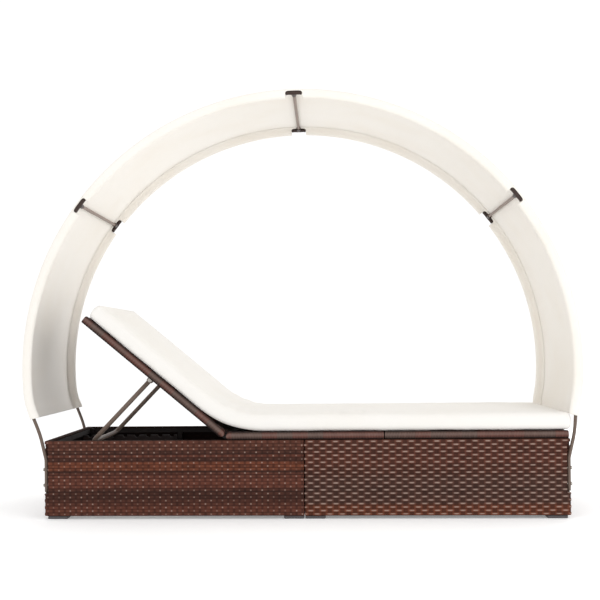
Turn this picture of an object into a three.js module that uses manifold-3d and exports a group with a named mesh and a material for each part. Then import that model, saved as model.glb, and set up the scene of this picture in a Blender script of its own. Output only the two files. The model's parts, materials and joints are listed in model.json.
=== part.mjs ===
// Outdoor daybed: two woven boxes, a padded deck with a backrest that tilts on a propped frame,
// and a fabric canopy stretched over a pair of round hoops.
// Millimetres. X runs from the head end to the foot end, Y from the near side to the far side, Z up.
// The origin lies on the floor below the middle of the canopy.

import * as THREE from "three";
import { mergeVertices } from "three/addons/utils/BufferGeometryUtils.js";
import Module from "manifold-3d";

// Fits shared by all pieces
const fitGap = 0.3;
const cutOverrun = 5;

// Woven boxes
const baseLength = 2000;
const baseWidth = 700;
const baseHeight = 300;
const boxSeam = 6;
const skin = 6;
const rimWidth = 28;
const boxCornerRadius = 12;
const boxEdgeRadius = 4;

// Feet under the boxes
const footHeight = 12;
const footLength = 76;
const footWidth = 50;
const footEndInset = 12;
const footSideInset = 8;
const footEdge = 2;

// Steel frame inside each box
const frameTube = 20;

// Recess at each outer corner, where a hoop leg is bolted on
const notchDepth = 16;
const notchWidth = 24;
const notchTop = 288;
const notchBottom = 97;

// Deck rails, wrapped in flat weave
const railSize = 30;
const railEdgeRadius = 8;
const acrossSetIn = 2;
const acrossSink = 0.25;
const deckThickness = 6;
const deckDrop = 5;
const crossBarWidth = 20;
const crossBarHeight = 14;
const seatSplitX = 304;
const panelGap = 4;
const seatEndInset = 8;

// Backrest and its two hinges
const hingeX = -302;
const railTipGap = 4;
const hingeSetback = 66;
const backrestLength = 704;
const backrestTilt = THREE.MathUtils.degToRad(40);
const plateThickness = 4;
const plateHeight = 24;
const plateLength = 62;
const plateTail = 13;
const pinRadius = 4;
const pinHeadRadius = 7;
const pinHeadThickness = 4;

// Prop under the backrest
const propReach = 370;
const propDrop = 33;
const propLength = 336;
const propWidth = 440;
const propTubeRadius = 9;
const propBendRadius = 36;
const eyeRadius = 13;
const eyeWidth = 14;
const earThickness = 4;
const earRadius = 12;
const bracketLength = 44;
const propBoltRadius = 5;
const propBoltHeadRadius = 9;
const propBoltHeadThickness = 6;

// Toothed racks that hold the foot of the prop
const rackDrop = 23.3;
const rackHeight = 36;
const rackThickness = 5;
const rackSpread = 340;
const notchPitch = 51;
const notchRadius = 9.6;
const notchesBelow = 2;
const notchesAbove = 5;
const rackEndMargin = 22;

// Canopy hoops
const hoopRadius = 1053;
const hoopCentreHeight = 568;
const hoopSpread = 676;
const hoopTubeRadius = 6.5;
const hoopSway = 17;
const swayHeight = 450;
const legLean = THREE.MathUtils.degToRad(13);
const legBlendRadius = 350;
const legBendHeight = 227;
const legBendRadius = 60;
const legBottom = 104;
const jointTurns = [-52.7, -0.5, 51.8].map(THREE.MathUtils.degToRad);
const tubeEndGap = 1;

// Tee fittings that join the hoop tubes and carry the cross bars
const teeRadius = 9.5;
const teeBoreGap = 0.6;
const teeLength = 60;
const stubRadius = 9;
const stubLength = 30;
const crossTubeRadius = 6;
const crossTubeInset = 8;

// Bolts that hold the hoop legs
const legBoltRadius = 3;
const legBoltHeadRadius = 6;
const legBoltHeadThickness = 4;
const legBoltBite = 12;
const legBoltHeights = [130, 190];

// Canopy cloth
const clothThickness = 2;
const sleeveHalfWidth = 12;
const sleeveDrop = 23;
const sleeveEase = 1;
const sleeveShoulderShare = 0.7;
const clothSag = 3;
const hemAboveBend = 163;
const openingHalfLength = 33;
const openingCentreDrop = 9;

// Mattress
const mattressWidth = 690;
const mattressThickness = 66;
const mattressCrown = 8;
const mattressDrawIn = 5;
const mattressFoldRadius = 400;
const mattressHeadInset = 4;
const mattressFootOverhang = 12;
const mattressEndRound = 30;

// How finely round shapes are cut
const roundSides = 12;
const hoopSides = 8;
const cornerSteps = 3;
const hoopStep = THREE.MathUtils.degToRad(3);
const leanSteps = 4;
const clothSteps = 15;
const clothAcrossSteps = 4;
const openingSides = 14;
const ringSteps = 24;

// Places worked out from the sizes above
const halfLength = baseLength / 2;
const halfWidth = baseWidth / 2;
const boxLength = (baseLength - boxSeam) / 2;
const boxCentreX = (halfLength + boxSeam / 2) / 2;
const boxBottom = footHeight + fitGap;
const railHalf = railSize / 2;
const railCentreHeight = baseHeight + fitGap + railHalf;
const railInnerY = halfWidth - railSize;
const hoopY = hoopSpread / 2;
const hoopFootX = halfLength - hoopTubeRadius;
const frameOuterX = halfLength - skin - fitGap;
const frameInnerX = frameOuterX - frameTube;
const frameOuterY = halfWidth - skin - fitGap;
const postOuterY = halfWidth - notchWidth - skin - fitGap;
const postInnerY = postOuterY - frameTube;
const cornerTubeX = halfLength - notchDepth - skin - fitGap;
const frameTopTop = baseHeight - skin - fitGap;
const frameBottomBottom = boxBottom + skin + fitGap;
const seatEndX = halfLength - seatEndInset;
const rackTop = baseHeight - rackDrop;
const rackBottom = rackTop - rackHeight;

const wasm = await Module();
wasm.setup();

// Solids and meshes

// A closed mesh as a solid, turned to face outwards if its faces point in.
function solidOf(geometry) {
  const bare = geometry.clone();
  for (const name of Object.keys(bare.attributes)) {
    if (name !== "position") bare.deleteAttribute(name);
  }
  const merged = mergeVertices(bare, 1e-4);
  const corners = new Uint32Array(merged.index.array);
  const places = new Float32Array(merged.attributes.position.array);
  const data = { numProp: 3, vertProperties: places, triVerts: corners };
  const first = new wasm.Manifold(new wasm.Mesh(data));
  if (first.volume() > 0) return first;
  for (let i = 0; i < corners.length; i += 3) {
    [corners[i + 1], corners[i + 2]] = [corners[i + 2], corners[i + 1]];
  }
  return new wasm.Manifold(new wasm.Mesh(data));
}

function geometryOf(solid) {
  const mesh = solid.getMesh();
  const count = mesh.numVert;
  const places = new Float32Array(count * 3);
  for (let i = 0; i < count; i++) {
    const start = i * mesh.numProp;
    places.set(mesh.vertProperties.subarray(start, start + 3), i * 3);
  }
  const geometry = new THREE.BufferGeometry();
  geometry.setAttribute("position", new THREE.BufferAttribute(places, 3));
  geometry.setIndex(new THREE.BufferAttribute(new Uint32Array(mesh.triVerts), 1));
  const flat = geometry.toNonIndexed();
  flat.computeVertexNormals();
  return flat;
}

function joined(solids) {
  return solids.reduce((sum, next) => sum.add(next));
}

function cutFrom(solid, cutters) {
  return cutters.reduce((left, cutter) => left.subtract(cutter), solid);
}

function block(x0, x1, y0, y1, z0, z1) {
  const box = new THREE.BoxGeometry(x1 - x0, y1 - y0, z1 - z0);
  box.translate((x0 + x1) / 2, (y0 + y1) / 2, (z0 + z1) / 2);
  return solidOf(box);
}

// A round bar along Y between two places.
function barAlongY(radius, x, z, y0, y1, sides = roundSides) {
  const bar = new THREE.CylinderGeometry(radius, radius, Math.abs(y1 - y0), sides);
  bar.translate(x, (y0 + y1) / 2, z);
  return solidOf(bar);
}

// A round bar along X between two places.
function barAlongX(radius, y, z, x0, x1, sides = roundSides) {
  const bar = new THREE.CylinderGeometry(radius, radius, Math.abs(x1 - x0), sides);
  bar.rotateZ(Math.PI / 2);
  bar.translate((x0 + x1) / 2, y, z);
  return solidOf(bar);
}

// The corner radius of a drilled hole whose flats clear a shaft.
function holeRadius(shaftRadius, gap = fitGap, sides = roundSides) {
  return (shaftRadius + gap) / Math.cos(Math.PI / sides);
}

function roundedRectangle(x0, x1, y0, y1, radius) {
  const shape = new THREE.Shape();
  shape.absarc(x1 - radius, y1 - radius, radius, 0, Math.PI / 2);
  shape.absarc(x0 + radius, y1 - radius, radius, Math.PI / 2, Math.PI);
  shape.absarc(x0 + radius, y0 + radius, radius, Math.PI, 1.5 * Math.PI);
  shape.absarc(x1 - radius, y0 + radius, radius, 1.5 * Math.PI, 2 * Math.PI);
  return shape;
}

// A long outline whose two ends are half circles.
function roundEnded(x0, x1, y0, y1) {
  const radius = (y1 - y0) / 2;
  const shape = new THREE.Shape();
  shape.absarc(x1 - radius, y0 + radius, radius, -Math.PI / 2, Math.PI / 2);
  shape.absarc(x0 + radius, y0 + radius, radius, Math.PI / 2, 1.5 * Math.PI);
  return shape;
}

// A flat outline in X and Z, thickened along Y from y0 to y1.
function slabAlongY(shape, y0, y1, bevel = 0) {
  const slab = new THREE.ExtrudeGeometry(shape, {
    depth: Math.abs(y1 - y0) - 2 * bevel,
    curveSegments: cornerSteps,
    bevelEnabled: bevel > 0,
    bevelThickness: bevel,
    bevelSize: bevel,
    bevelOffset: -bevel,
    bevelSegments: 2,
  });
  slab.rotateX(Math.PI / 2);
  slab.translate(0, Math.max(y0, y1) - bevel, 0);
  return solidOf(slab);
}

// A flat outline in X and Y, thickened along Z from z0 to z1.
function slabAlongZ(shape, z0, z1, bevel = 0, bevelSteps = 2) {
  const slab = new THREE.ExtrudeGeometry(shape, {
    depth: z1 - z0 - 2 * bevel,
    curveSegments: cornerSteps,
    bevelEnabled: bevel > 0,
    bevelThickness: bevel,
    bevelSize: bevel,
    bevelOffset: -bevel,
    bevelSegments: bevelSteps,
  });
  slab.translate(0, 0, z0 + bevel);
  return solidOf(slab);
}

// A path that an extrusion follows exactly from point to point.
class PointPath extends THREE.Curve {
  constructor(points) {
    super();
    this.points = points;
  }
  getPoint(t) {
    const last = this.points.length - 1;
    const at = Math.min(Math.max(t, 0), 1) * last;
    const i = Math.min(Math.floor(at + 1e-9), last - 1);
    return this.points[i].clone().lerp(this.points[i + 1], at - i);
  }
  getPointAt(u) {
    return this.getPoint(u);
  }
  getTangentAt(u) {
    const last = this.points.length - 1;
    const i = Math.round(u * last);
    const before = this.points[Math.max(i - 1, 0)];
    const here = this.points[i];
    const after = this.points[Math.min(i + 1, last)];
    const way = new THREE.Vector3();
    if (i > 0) way.add(here.clone().sub(before).normalize());
    if (i < last) way.add(after.clone().sub(here).normalize());
    return way.normalize();
  }
  getSpacedPoints(divisions) {
    return Array.from({ length: divisions + 1 }, (_, i) => this.getPoint(i / divisions));
  }
}

function circleShape(radius, sides) {
  const corners = Array.from({ length: sides }, (_, i) => {
    const turn = (2 * Math.PI * (i + 0.5)) / sides;
    return new THREE.Vector2(radius * Math.cos(turn), radius * Math.sin(turn));
  });
  return new THREE.Shape(corners);
}

function sweep(shape, points) {
  const swept = new THREE.ExtrudeGeometry(shape, {
    steps: points.length - 1,
    bevelEnabled: false,
    extrudePath: new PointPath(points),
  });
  return solidOf(swept);
}

// A tube whose corners are rounded: each inner point is replaced by an arc that touches both runs.
function bentPoints(points, radius, steps) {
  const path = [points[0]];
  for (let i = 1; i < points.length - 1; i++) {
    const back = points[i - 1].clone().sub(points[i]).normalize();
    const on = points[i + 1].clone().sub(points[i]).normalize();
    const half = Math.acos(THREE.MathUtils.clamp(back.dot(on), -1, 1)) / 2;
    const centre = back.clone().add(on).normalize().multiplyScalar(radius / Math.sin(half));
    centre.add(points[i]);
    const start = points[i].clone().addScaledVector(back, radius / Math.tan(half)).sub(centre);
    const end = points[i].clone().addScaledVector(on, radius / Math.tan(half)).sub(centre);
    const axis = start.clone().cross(end).normalize();
    const turn = start.angleTo(end);
    for (let k = 0; k <= steps; k++) {
      path.push(start.clone().applyAxisAngle(axis, (turn * k) / steps).add(centre));
    }
  }
  path.push(points[points.length - 1]);
  return path;
}

// The hoop's centreline
// From the crown each half follows the big circle, blends into a straight leaning leg and bends upright
// into the notch of the box. Above the boxes the hoops sway a little towards the head. Distances run
// along the line from the crown, negative towards the head.

const legAlong = new THREE.Vector2(Math.sin(legLean), Math.cos(legLean));
const legInward = new THREE.Vector2(-Math.cos(legLean), Math.sin(legLean));
const bendPoint = new THREE.Vector2(hoopFootX, legBendHeight);
const hoopCentre = new THREE.Vector2(0, hoopCentreHeight);
const blendStart = bendPoint.clone().addScaledVector(legInward, legBlendRadius).sub(hoopCentre);
const blendReach = hoopRadius - legBlendRadius;
const blendHalf = blendStart.dot(legAlong);
const blendRise = Math.sqrt(blendHalf ** 2 - blendStart.lengthSq() + blendReach ** 2) - blendHalf;
const blendCentre = blendStart.clone().addScaledVector(legAlong, blendRise).add(hoopCentre);
const circleEndTurn = Math.atan2(blendCentre.x, blendCentre.y - hoopCentreHeight);
const legTurn = Math.PI / 2 + legLean;
const bendTangent = legBendRadius * Math.tan(legLean / 2);
const circleEnd = hoopRadius * circleEndTurn;
const blendEnd = circleEnd + legBlendRadius * (legTurn - circleEndTurn);
const leanEnd = blendEnd + blendRise - bendTangent;
const bendEnd = leanEnd + legBendRadius * legLean;
const hoopEnd = bendEnd + legBendHeight - bendTangent - legBottom;

function onCircle(centre, radius, turn) {
  return [centre.x + radius * Math.sin(turn), centre.y + radius * Math.cos(turn)];
}

// The place and the outward direction at a distance from the crown.
function hoopAt(distance, y) {
  const side = Math.sign(distance) || 1;
  const s = Math.abs(distance);
  let place;
  let turn = legTurn;
  if (s <= circleEnd) {
    turn = s / hoopRadius;
    place = onCircle(hoopCentre, hoopRadius, turn);
  } else if (s <= blendEnd) {
    turn = circleEndTurn + (s - circleEnd) / legBlendRadius;
    place = onCircle(blendCentre, legBlendRadius, turn);
  } else if (s <= leanEnd) {
    const down = bendTangent + leanEnd - s;
    place = [bendPoint.x + legAlong.x * down, bendPoint.y + legAlong.y * down];
  } else if (s <= bendEnd) {
    turn = legTurn - (s - leanEnd) / legBendRadius;
    const centre = new THREE.Vector2(hoopFootX + legBendRadius, legBendHeight - bendTangent);
    place = onCircle(centre, -legBendRadius, turn);
  } else {
    turn = Math.PI / 2;
    place = [hoopFootX, legBendHeight - bendTangent - (s - bendEnd)];
  }
  const rise = THREE.MathUtils.smoothstep(place[1], baseHeight, swayHeight);
  return {
    place: new THREE.Vector3(side * place[0] - hoopSway * rise, y, place[1]),
    outward: new THREE.Vector3(side * Math.sin(turn), 0, Math.cos(turn)),
  };
}

// Distances from one place to another, with the corners of the line kept and arcs cut into short steps.
function hoopStations(from, to) {
  const marks = [circleEnd, blendEnd, leanEnd, bendEnd];
  const corners = [...marks.map((s) => -s), ...marks].filter((s) => s > from && s < to);
  const stops = [from, ...corners.sort((a, b) => a - b), to];
  const stations = [from];
  for (let i = 1; i < stops.length; i++) {
    const middle = Math.abs(stops[i - 1] + stops[i]) / 2;
    const span = stops[i] - stops[i - 1];
    let turned = 0;
    if (middle < circleEnd) turned = span / hoopRadius;
    else if (middle < blendEnd) turned = span / legBlendRadius;
    else if (middle > leanEnd && middle < bendEnd) turned = span / legBendRadius;
    const leaning = middle > blendEnd && middle < leanEnd;
    const count = leaning ? leanSteps : Math.max(1, Math.round(turned / hoopStep));
    for (let k = 1; k <= count; k++) stations.push(stops[i - 1] + (span * k) / count);
  }
  return stations;
}

function hoopPoints(from, to, y) {
  return hoopStations(from, to).map((s) => hoopAt(s, y).place);
}

// The woven boxes and what stands in them

function bothEnds(x0, x1, side) {
  return side > 0 ? [x0, x1] : [-x1, -x0];
}

// A block given on the foot side of the middle, mirrored to the head side where side is -1.
function sidedBlock(side, x0, x1, y0, y1, z0, z1) {
  const [a, b] = bothEnds(x0, x1, side);
  return block(a, b, y0, y1, z0, z1);
}

function legBoltHoles(side, x0, x1) {
  const radius = holeRadius(legBoltRadius);
  return legBoltHeights.flatMap((z) => [
    barAlongX(radius, -hoopY, z, side * x0, side * x1),
    barAlongX(radius, hoopY, z, side * x0, side * x1),
  ]);
}

// A woven box: an outer skin with a return over the frame at the top and at the bottom, open above and
// below, and a lined recess at both outer corners.
function wovenBox(side) {
  const inner = halfLength - boxLength;
  const [x0, x1] = bothEnds(inner, halfLength, side);
  const outline = roundedRectangle(x0, x1, -halfWidth, halfWidth, boxCornerRadius);
  const well = block(
    x0 + rimWidth,
    x1 - rimWidth,
    rimWidth - halfWidth,
    halfWidth - rimWidth,
    boxBottom - cutOverrun,
    baseHeight + cutOverrun,
  );
  const channel = block(
    x0 + skin,
    x1 - skin,
    skin - halfWidth,
    halfWidth - skin,
    boxBottom + skin,
    baseHeight - skin,
  );
  let box = slabAlongZ(outline, boxBottom, baseHeight, boxEdgeRadius);
  box = cutFrom(box, [well, channel]);
  for (const far of [-1, 1]) {
    const lining = [halfWidth - notchWidth - skin, halfWidth - skin / 2].map((y) => y * far);
    const recess = [halfWidth - notchWidth, halfWidth + cutOverrun].map((y) => y * far);
    lining.sort((a, b) => a - b);
    recess.sort((a, b) => a - b);
    const liningX = [halfLength - notchDepth - skin, halfLength - skin / 2];
    const recessX = [halfLength - notchDepth, halfLength + cutOverrun];
    box = box.add(sidedBlock(side, ...liningX, ...lining, notchBottom - skin, notchTop + skin));
    box = box.subtract(sidedBlock(side, ...recessX, ...recess, notchBottom, notchTop));
  }
  return cutFrom(box, legBoltHoles(side, cornerTubeX - cutOverrun, halfLength));
}

// The welded frame in a box: a ring of tube at the top and one at the bottom, corner posts beside the
// recesses, posts at the middle and, where a rack lies, two bars across.
function boxFrame(side, midPostX, rackBars) {
  const parts = [];
  const innerEnd = halfLength - boxLength + skin + fitGap;
  const cornerIn = innerEnd + (frameOuterX - cornerTubeX);
  const levels = [frameBottomBottom, frameTopTop - frameTube];
  const ends = [
    [frameInnerX, frameOuterX, cornerTubeX - frameTube, cornerTubeX],
    [innerEnd, innerEnd + frameTube, cornerIn, cornerIn + frameTube],
  ];
  for (const z of levels) {
    for (const [x0, x1, c0, c1] of ends) {
      parts.push(sidedBlock(side, x0, x1, -postOuterY, postOuterY, z, z + frameTube));
      for (const far of [-1, 1]) {
        const y = [postInnerY * far, frameOuterY * far].sort((a, b) => a - b);
        parts.push(sidedBlock(side, c0, c1, ...y, z, z + frameTube));
      }
    }
    for (const far of [-1, 1]) {
      const y = [frameOuterY * far, (frameOuterY - frameTube) * far].sort((a, b) => a - b);
      parts.push(sidedBlock(side, cornerIn, cornerTubeX, ...y, z, z + frameTube));
    }
  }
  for (const far of [-1, 1]) {
    const wall = [frameOuterY * far, (frameOuterY - frameTube) * far].sort((a, b) => a - b);
    const half = frameTube / 2;
    const posts = [[midPostX - half, midPostX + half], ...ends.map((end) => end.slice(2))];
    for (const [x0, x1] of posts) {
      parts.push(sidedBlock(side, x0, x1, ...wall, frameBottomBottom, frameTopTop));
    }
  }
  for (const x of rackBars) {
    const half = frameTube / 2;
    const top = rackBottom - fitGap;
    const across = [-frameOuterY, frameOuterY];
    parts.push(sidedBlock(side, x - half, x + half, ...across, top - frameTube, top));
  }
  return cutFrom(joined(parts), legBoltHoles(side, cornerTubeX - legBoltBite, halfLength));
}

// A foot plate with chamfered lower edges, its outer end at x.
function footPlate(x0, side) {
  const y0 = side > 0 ? halfWidth - footSideInset - footWidth : footSideInset - halfWidth;
  const outline = roundedRectangle(x0, x0 + footLength, y0, y0 + footWidth, footEdge * 2);
  return slabAlongZ(outline, 0, footHeight, footEdge, 1);
}

// Deck panels

// A side rail seen from the side: a long bar with round ends.
function sideRail(x0, x1, far) {
  const outline = roundEnded(x0, x1, -railHalf, railHalf);
  const y = [railInnerY * far, halfWidth * far].sort((a, b) => a - b);
  return slabAlongY(outline, y[0], y[1], railEdgeRadius);
}

// A rail that runs across between the side rails.
function acrossRail(x0, x1) {
  const rise = railHalf - acrossSink;
  const shape = roundedRectangle(x0, x1, -rise, rise, railEdgeRadius);
  return slabAlongY(shape, -railInnerY - railHalf, railInnerY + railHalf);
}

// A panel frame from x0 to x1 about the height of its own middle, with rails across at the given
// insets from both ends and flat bars across under the deck.
function panelFrame(x0, x1, inset0, inset1, bars) {
  const parts = [sideRail(x0, x1, -1), sideRail(x0, x1, 1)];
  parts.push(acrossRail(x0 + inset0, x0 + inset0 + railSize));
  parts.push(acrossRail(x1 - inset1 - railSize, x1 - inset1));
  const top = railHalf - deckDrop - deckThickness - fitGap;
  const reach = railInnerY + railHalf / 2;
  for (const x of bars) {
    const half = crossBarWidth / 2;
    parts.push(block(x - half, x + half, -reach, reach, top - crossBarHeight, top));
  }
  return joined(parts);
}

function panelDeck(x0, x1) {
  const reach = railInnerY - fitGap;
  const top = railHalf - deckDrop;
  const outline = roundedRectangle(x0 + fitGap, x1 - fitGap, -reach, reach, fitGap);
  return slabAlongZ(outline, top - deckThickness, top);
}

// Flat bars divide a deck evenly.
function evenly(x0, x1, count) {
  return Array.from({ length: count }, (_, i) => x0 + ((x1 - x0) * (i + 1)) / (count + 1));
}

// Hinges

// A strap with a round end about the pin, running from the pin along X in the given direction.
function hingeStrap(direction, y0, y1) {
  const x = [-plateTail * direction, plateLength * direction].sort((a, b) => a - b);
  const outline = roundEnded(...x, -plateHeight / 2, plateHeight / 2);
  const plate = slabAlongY(outline, y0, y1);
  const hole = barAlongY(holeRadius(pinRadius), 0, 0, y0 - cutOverrun, y1 + cutOverrun);
  return plate.subtract(hole);
}

function hingeLayers(far) {
  const outer = railInnerY - fitGap;
  const middle = outer - plateThickness;
  const inner = middle - fitGap;
  return {
    seat: [middle * far, outer * far].sort((a, b) => a - b),
    back: [(inner - plateThickness) * far, inner * far].sort((a, b) => a - b),
    spacer: [(inner - plateThickness / 2) * far, outer * far].sort((a, b) => a - b),
    head: (inner - plateThickness - fitGap) * far,
    end: outer * far,
  };
}

function backHingeStrap(far) {
  const layers = hingeLayers(far);
  const strap = hingeStrap(-1, ...layers.back);
  const half = plateHeight / 2;
  const spacer = block(-plateLength + half, -plateLength / 2, ...layers.spacer, -half / 2, half / 2);
  return strap.add(spacer);
}

function hingePin(far) {
  const { head, end } = hingeLayers(far);
  const shaft = barAlongY(pinRadius, 0, 0, head - pinHeadThickness * far * 0.5, end);
  return shaft.add(barAlongY(pinHeadRadius, 0, 0, head - pinHeadThickness * far, head));
}

// Prop, its brackets and racks

// The prop hangs from the backrest at propReach from the hinge and its foot lies just above the racks.
const sine = Math.sin(backrestTilt);
const cosine = Math.cos(backrestTilt);
const propPivotX = hingeX - propReach * cosine - propDrop * sine;
const propPivotZ = railCentreHeight + propReach * sine - propDrop * cosine;
const propFootZ = rackTop + fitGap + propTubeRadius;
const propSlope = Math.asin((propPivotZ - propFootZ) / propLength);
const propFootX = propPivotX - propLength * Math.cos(propSlope);
const rackEndX = propFootX + notchPitch * notchesAbove + rackEndMargin;

// A bent tube with a flat eye at each end, in the prop's own frame: the eyes lie on the Y axis and the
// foot bar lies at -propLength along X.
function propFrame() {
  const y = propWidth / 2;
  const corners = [
    [-eyeRadius / 2, -y],
    [-propLength, -y],
    [-propLength, y],
    [-eyeRadius / 2, y],
  ].map(([x, across]) => new THREE.Vector3(x, across, 0));
  const path = bentPoints(corners, propBendRadius, cornerSteps + 1);
  const tube = sweep(circleShape(propTubeRadius, roundSides), path);
  const eyes = [-y, y].map((at) => {
    return barAlongY(eyeRadius, 0, 0, at - eyeWidth / 2, at + eyeWidth / 2, 2 * roundSides);
  });
  const room = eyeWidth / 2;
  const trims = [-y, y].flatMap((at) => {
    const reach = 2 * eyeRadius;
    return [
      block(-reach, reach, at - propTubeRadius - cutOverrun, at - room, -reach, reach),
      block(-reach, reach, at + room, at + propTubeRadius + cutOverrun, -reach, reach),
    ];
  });
  const holes = [-y, y].map((at) => {
    return barAlongY(holeRadius(propBoltRadius), 0, 0, at - propTubeRadius, at + propTubeRadius);
  });
  return cutFrom(joined([tube, ...eyes]), [...trims, ...holes]);
}

// A clevis under the backrest's flat bar: a base and two ears with round ends about the bolt.
function propBracket(far) {
  const y = (propWidth / 2) * far;
  const top = railHalf - deckDrop - deckThickness - fitGap - crossBarHeight - fitGap;
  const room = eyeWidth / 2 + fitGap;
  const wide = room + earThickness;
  const base = block(
    -propReach - bracketLength / 2,
    -propReach + bracketLength / 2,
    y - wide,
    y + wide,
    top - earThickness,
    top,
  );
  const ear = roundedRectangle(
    -propReach - earRadius,
    -propReach + earRadius,
    -propDrop - earRadius,
    top - earThickness / 2,
    earRadius * 0.7,
  );
  const ears = [
    slabAlongY(ear, y - wide, y - room),
    slabAlongY(ear, y + room, y + wide),
  ];
  const hole = barAlongY(
    holeRadius(propBoltRadius),
    -propReach,
    -propDrop,
    y - wide - cutOverrun,
    y + wide + cutOverrun,
  );
  return joined([base, ...ears]).subtract(hole);
}

function propBolt(far) {
  const y = (propWidth / 2) * far;
  const out = eyeWidth / 2 + fitGap + earThickness + fitGap;
  const head = propBoltHeadThickness;
  const bolt = (radius, a, b, sides) => barAlongY(radius, -propReach, -propDrop, a, b, sides);
  return joined([
    bolt(propBoltRadius, y - out - head / 2, y + out + head / 2),
    bolt(propBoltHeadRadius, y - out - head, y - out),
    bolt(propBoltHeadRadius, y + out, y + out + head, 6),
  ]);
}

// A steel strip on edge with round notches along its top, one of them under the foot of the prop.
function rack(far) {
  const x0 = -frameInnerX + fitGap;
  const shape = new THREE.Shape();
  shape.moveTo(x0, rackBottom);
  shape.lineTo(rackEndX, rackBottom);
  shape.lineTo(rackEndX, rackTop);
  for (let k = notchesAbove; k >= -notchesBelow; k--) {
    const x = propFootX + notchPitch * k;
    shape.lineTo(x + notchRadius, rackTop);
    shape.absarc(x, rackTop, notchRadius, 0, Math.PI, true);
  }
  shape.lineTo(x0, rackTop);
  shape.closePath();
  const y = (rackSpread / 2) * far;
  return slabAlongY(shape, y - rackThickness / 2, y + rackThickness / 2);
}

// Hoops, tee fittings and cross tubes

function hoopTube(from, to, far) {
  const tube = sweep(circleShape(hoopTubeRadius, hoopSides), hoopPoints(from, to, hoopY * far));
  const foot = Math.max(Math.abs(from), Math.abs(to)) > bendEnd;
  if (!foot) return tube;
  const side = from + to > 0 ? 1 : -1;
  return cutFrom(tube, legBoltHoles(side, cornerTubeX, halfLength + cutOverrun));
}

// A sleeve along the hoop with a stub towards the other hoop.
function teeFitting(turn, far) {
  const middle = turn * hoopRadius;
  const y = hoopY * far;
  const half = teeLength / 2;
  const bore = holeRadius(hoopTubeRadius, teeBoreGap);
  const sleeve = sweep(
    circleShape(teeRadius, roundSides),
    [-half, 0, half].map((s) => hoopAt(middle + s, y).place),
  );
  const through = sweep(
    circleShape(bore, roundSides),
    [-half - cutOverrun, 0, half + cutOverrun].map((s) => hoopAt(middle + s, y).place),
  );
  const centre = hoopAt(middle, y).place;
  const stubEnd = y - (teeRadius + stubLength) * far;
  const stub = barAlongY(stubRadius, centre.x, centre.z, y, stubEnd);
  const socket = barAlongY(
    holeRadius(crossTubeRadius),
    centre.x,
    centre.z,
    y,
    stubEnd - cutOverrun * far,
  );
  return sleeve.add(stub).subtract(through).subtract(socket);
}

function crossTube(turn) {
  const centre = hoopAt(turn * hoopRadius, 0).place;
  const reach = hoopY - crossTubeInset;
  return barAlongY(crossTubeRadius, centre.x, centre.z, -reach, reach);
}

function legBolt(side, far, z) {
  const face = (hoopFootX + hoopTubeRadius + fitGap) * side;
  const end = (cornerTubeX - legBoltBite + fitGap) * side;
  const head = legBoltHeadThickness * side;
  const y = hoopY * far;
  const shank = barAlongX(legBoltRadius, y, z, end, face + head / 2);
  return shank.add(barAlongX(legBoltHeadRadius, y, z, face, face + head));
}

// Canopy

// The cloth in section: a sheet that sags a little between the hoops and is sewn into a loose sleeve
// round each of them. The first coordinate runs across, the second towards the inside of the hoop.
const sleeveTop = teeRadius + sleeveEase;
const sleeveRoundShares = [
  [0.92, 0.84],
  [1, -0.5],
  [0.6, -0.9],
  [0, -1],
  [-0.6, -0.9],
  [-1, -0.5],
];

function clothSection() {
  const reach = hoopY - sleeveHalfWidth;
  const across = Array.from({ length: clothAcrossSteps + 1 }, (_, i) => {
    return -1 + (2 * i) / clothAcrossSteps;
  });
  const sag = (share) => clothSag * (1 - share * share);
  const ring = (side, grow) => {
    const wide = sleeveHalfWidth - clothThickness + grow;
    const rise = sleeveTop + grow;
    const drop = sleeveDrop - clothThickness + grow;
    return sleeveRoundShares.map(([along, up]) => {
      const height = up > 0 ? up * rise : up * drop;
      return new THREE.Vector2(side * (hoopY + along * wide), -height);
    });
  };
  const top = -(sleeveTop + clothThickness);
  const over = across.map((share) => new THREE.Vector2(share * hoopY, top + sag(share)));
  const under = across.map((share) => new THREE.Vector2(-share * reach, sag(share) - sleeveTop));
  const far = ring(1, clothThickness);
  const near = ring(-1, clothThickness).reverse();
  const shape = new THREE.Shape([...over, ...far, ...under, ...near]);
  for (const side of [-1, 1]) {
    const hole = [new THREE.Vector2(side * hoopY, -sleeveTop), ...ring(side, 0)];
    const wide = sleeveHalfWidth - clothThickness;
    hole.push(new THREE.Vector2(side * (hoopY - wide), -sleeveTop * sleeveShoulderShare));
    shape.holes.push(new THREE.Path(side > 0 ? hole : hole.reverse()));
  }
  return shape;
}

// Oval openings in the sleeves, where the tee fittings and the cross tubes show.
function sleeveOpening(turn, far) {
  const { place, outward } = hoopAt(turn * hoopRadius, hoopY * far);
  const top = sleeveTop + clothThickness / 2;
  const depth = sleeveHalfWidth + cutOverrun;
  const oval = new THREE.CylinderGeometry(1, 1, 2 * depth, openingSides);
  oval.scale(openingHalfLength, 1, top + openingCentreDrop);
  oval.translate(0, 0, -openingCentreDrop);
  oval.rotateY(Math.atan2(outward.x, outward.z));
  oval.translate(place.x, place.y + (cutOverrun - clothThickness) * far, place.z);
  return solidOf(oval);
}

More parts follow.
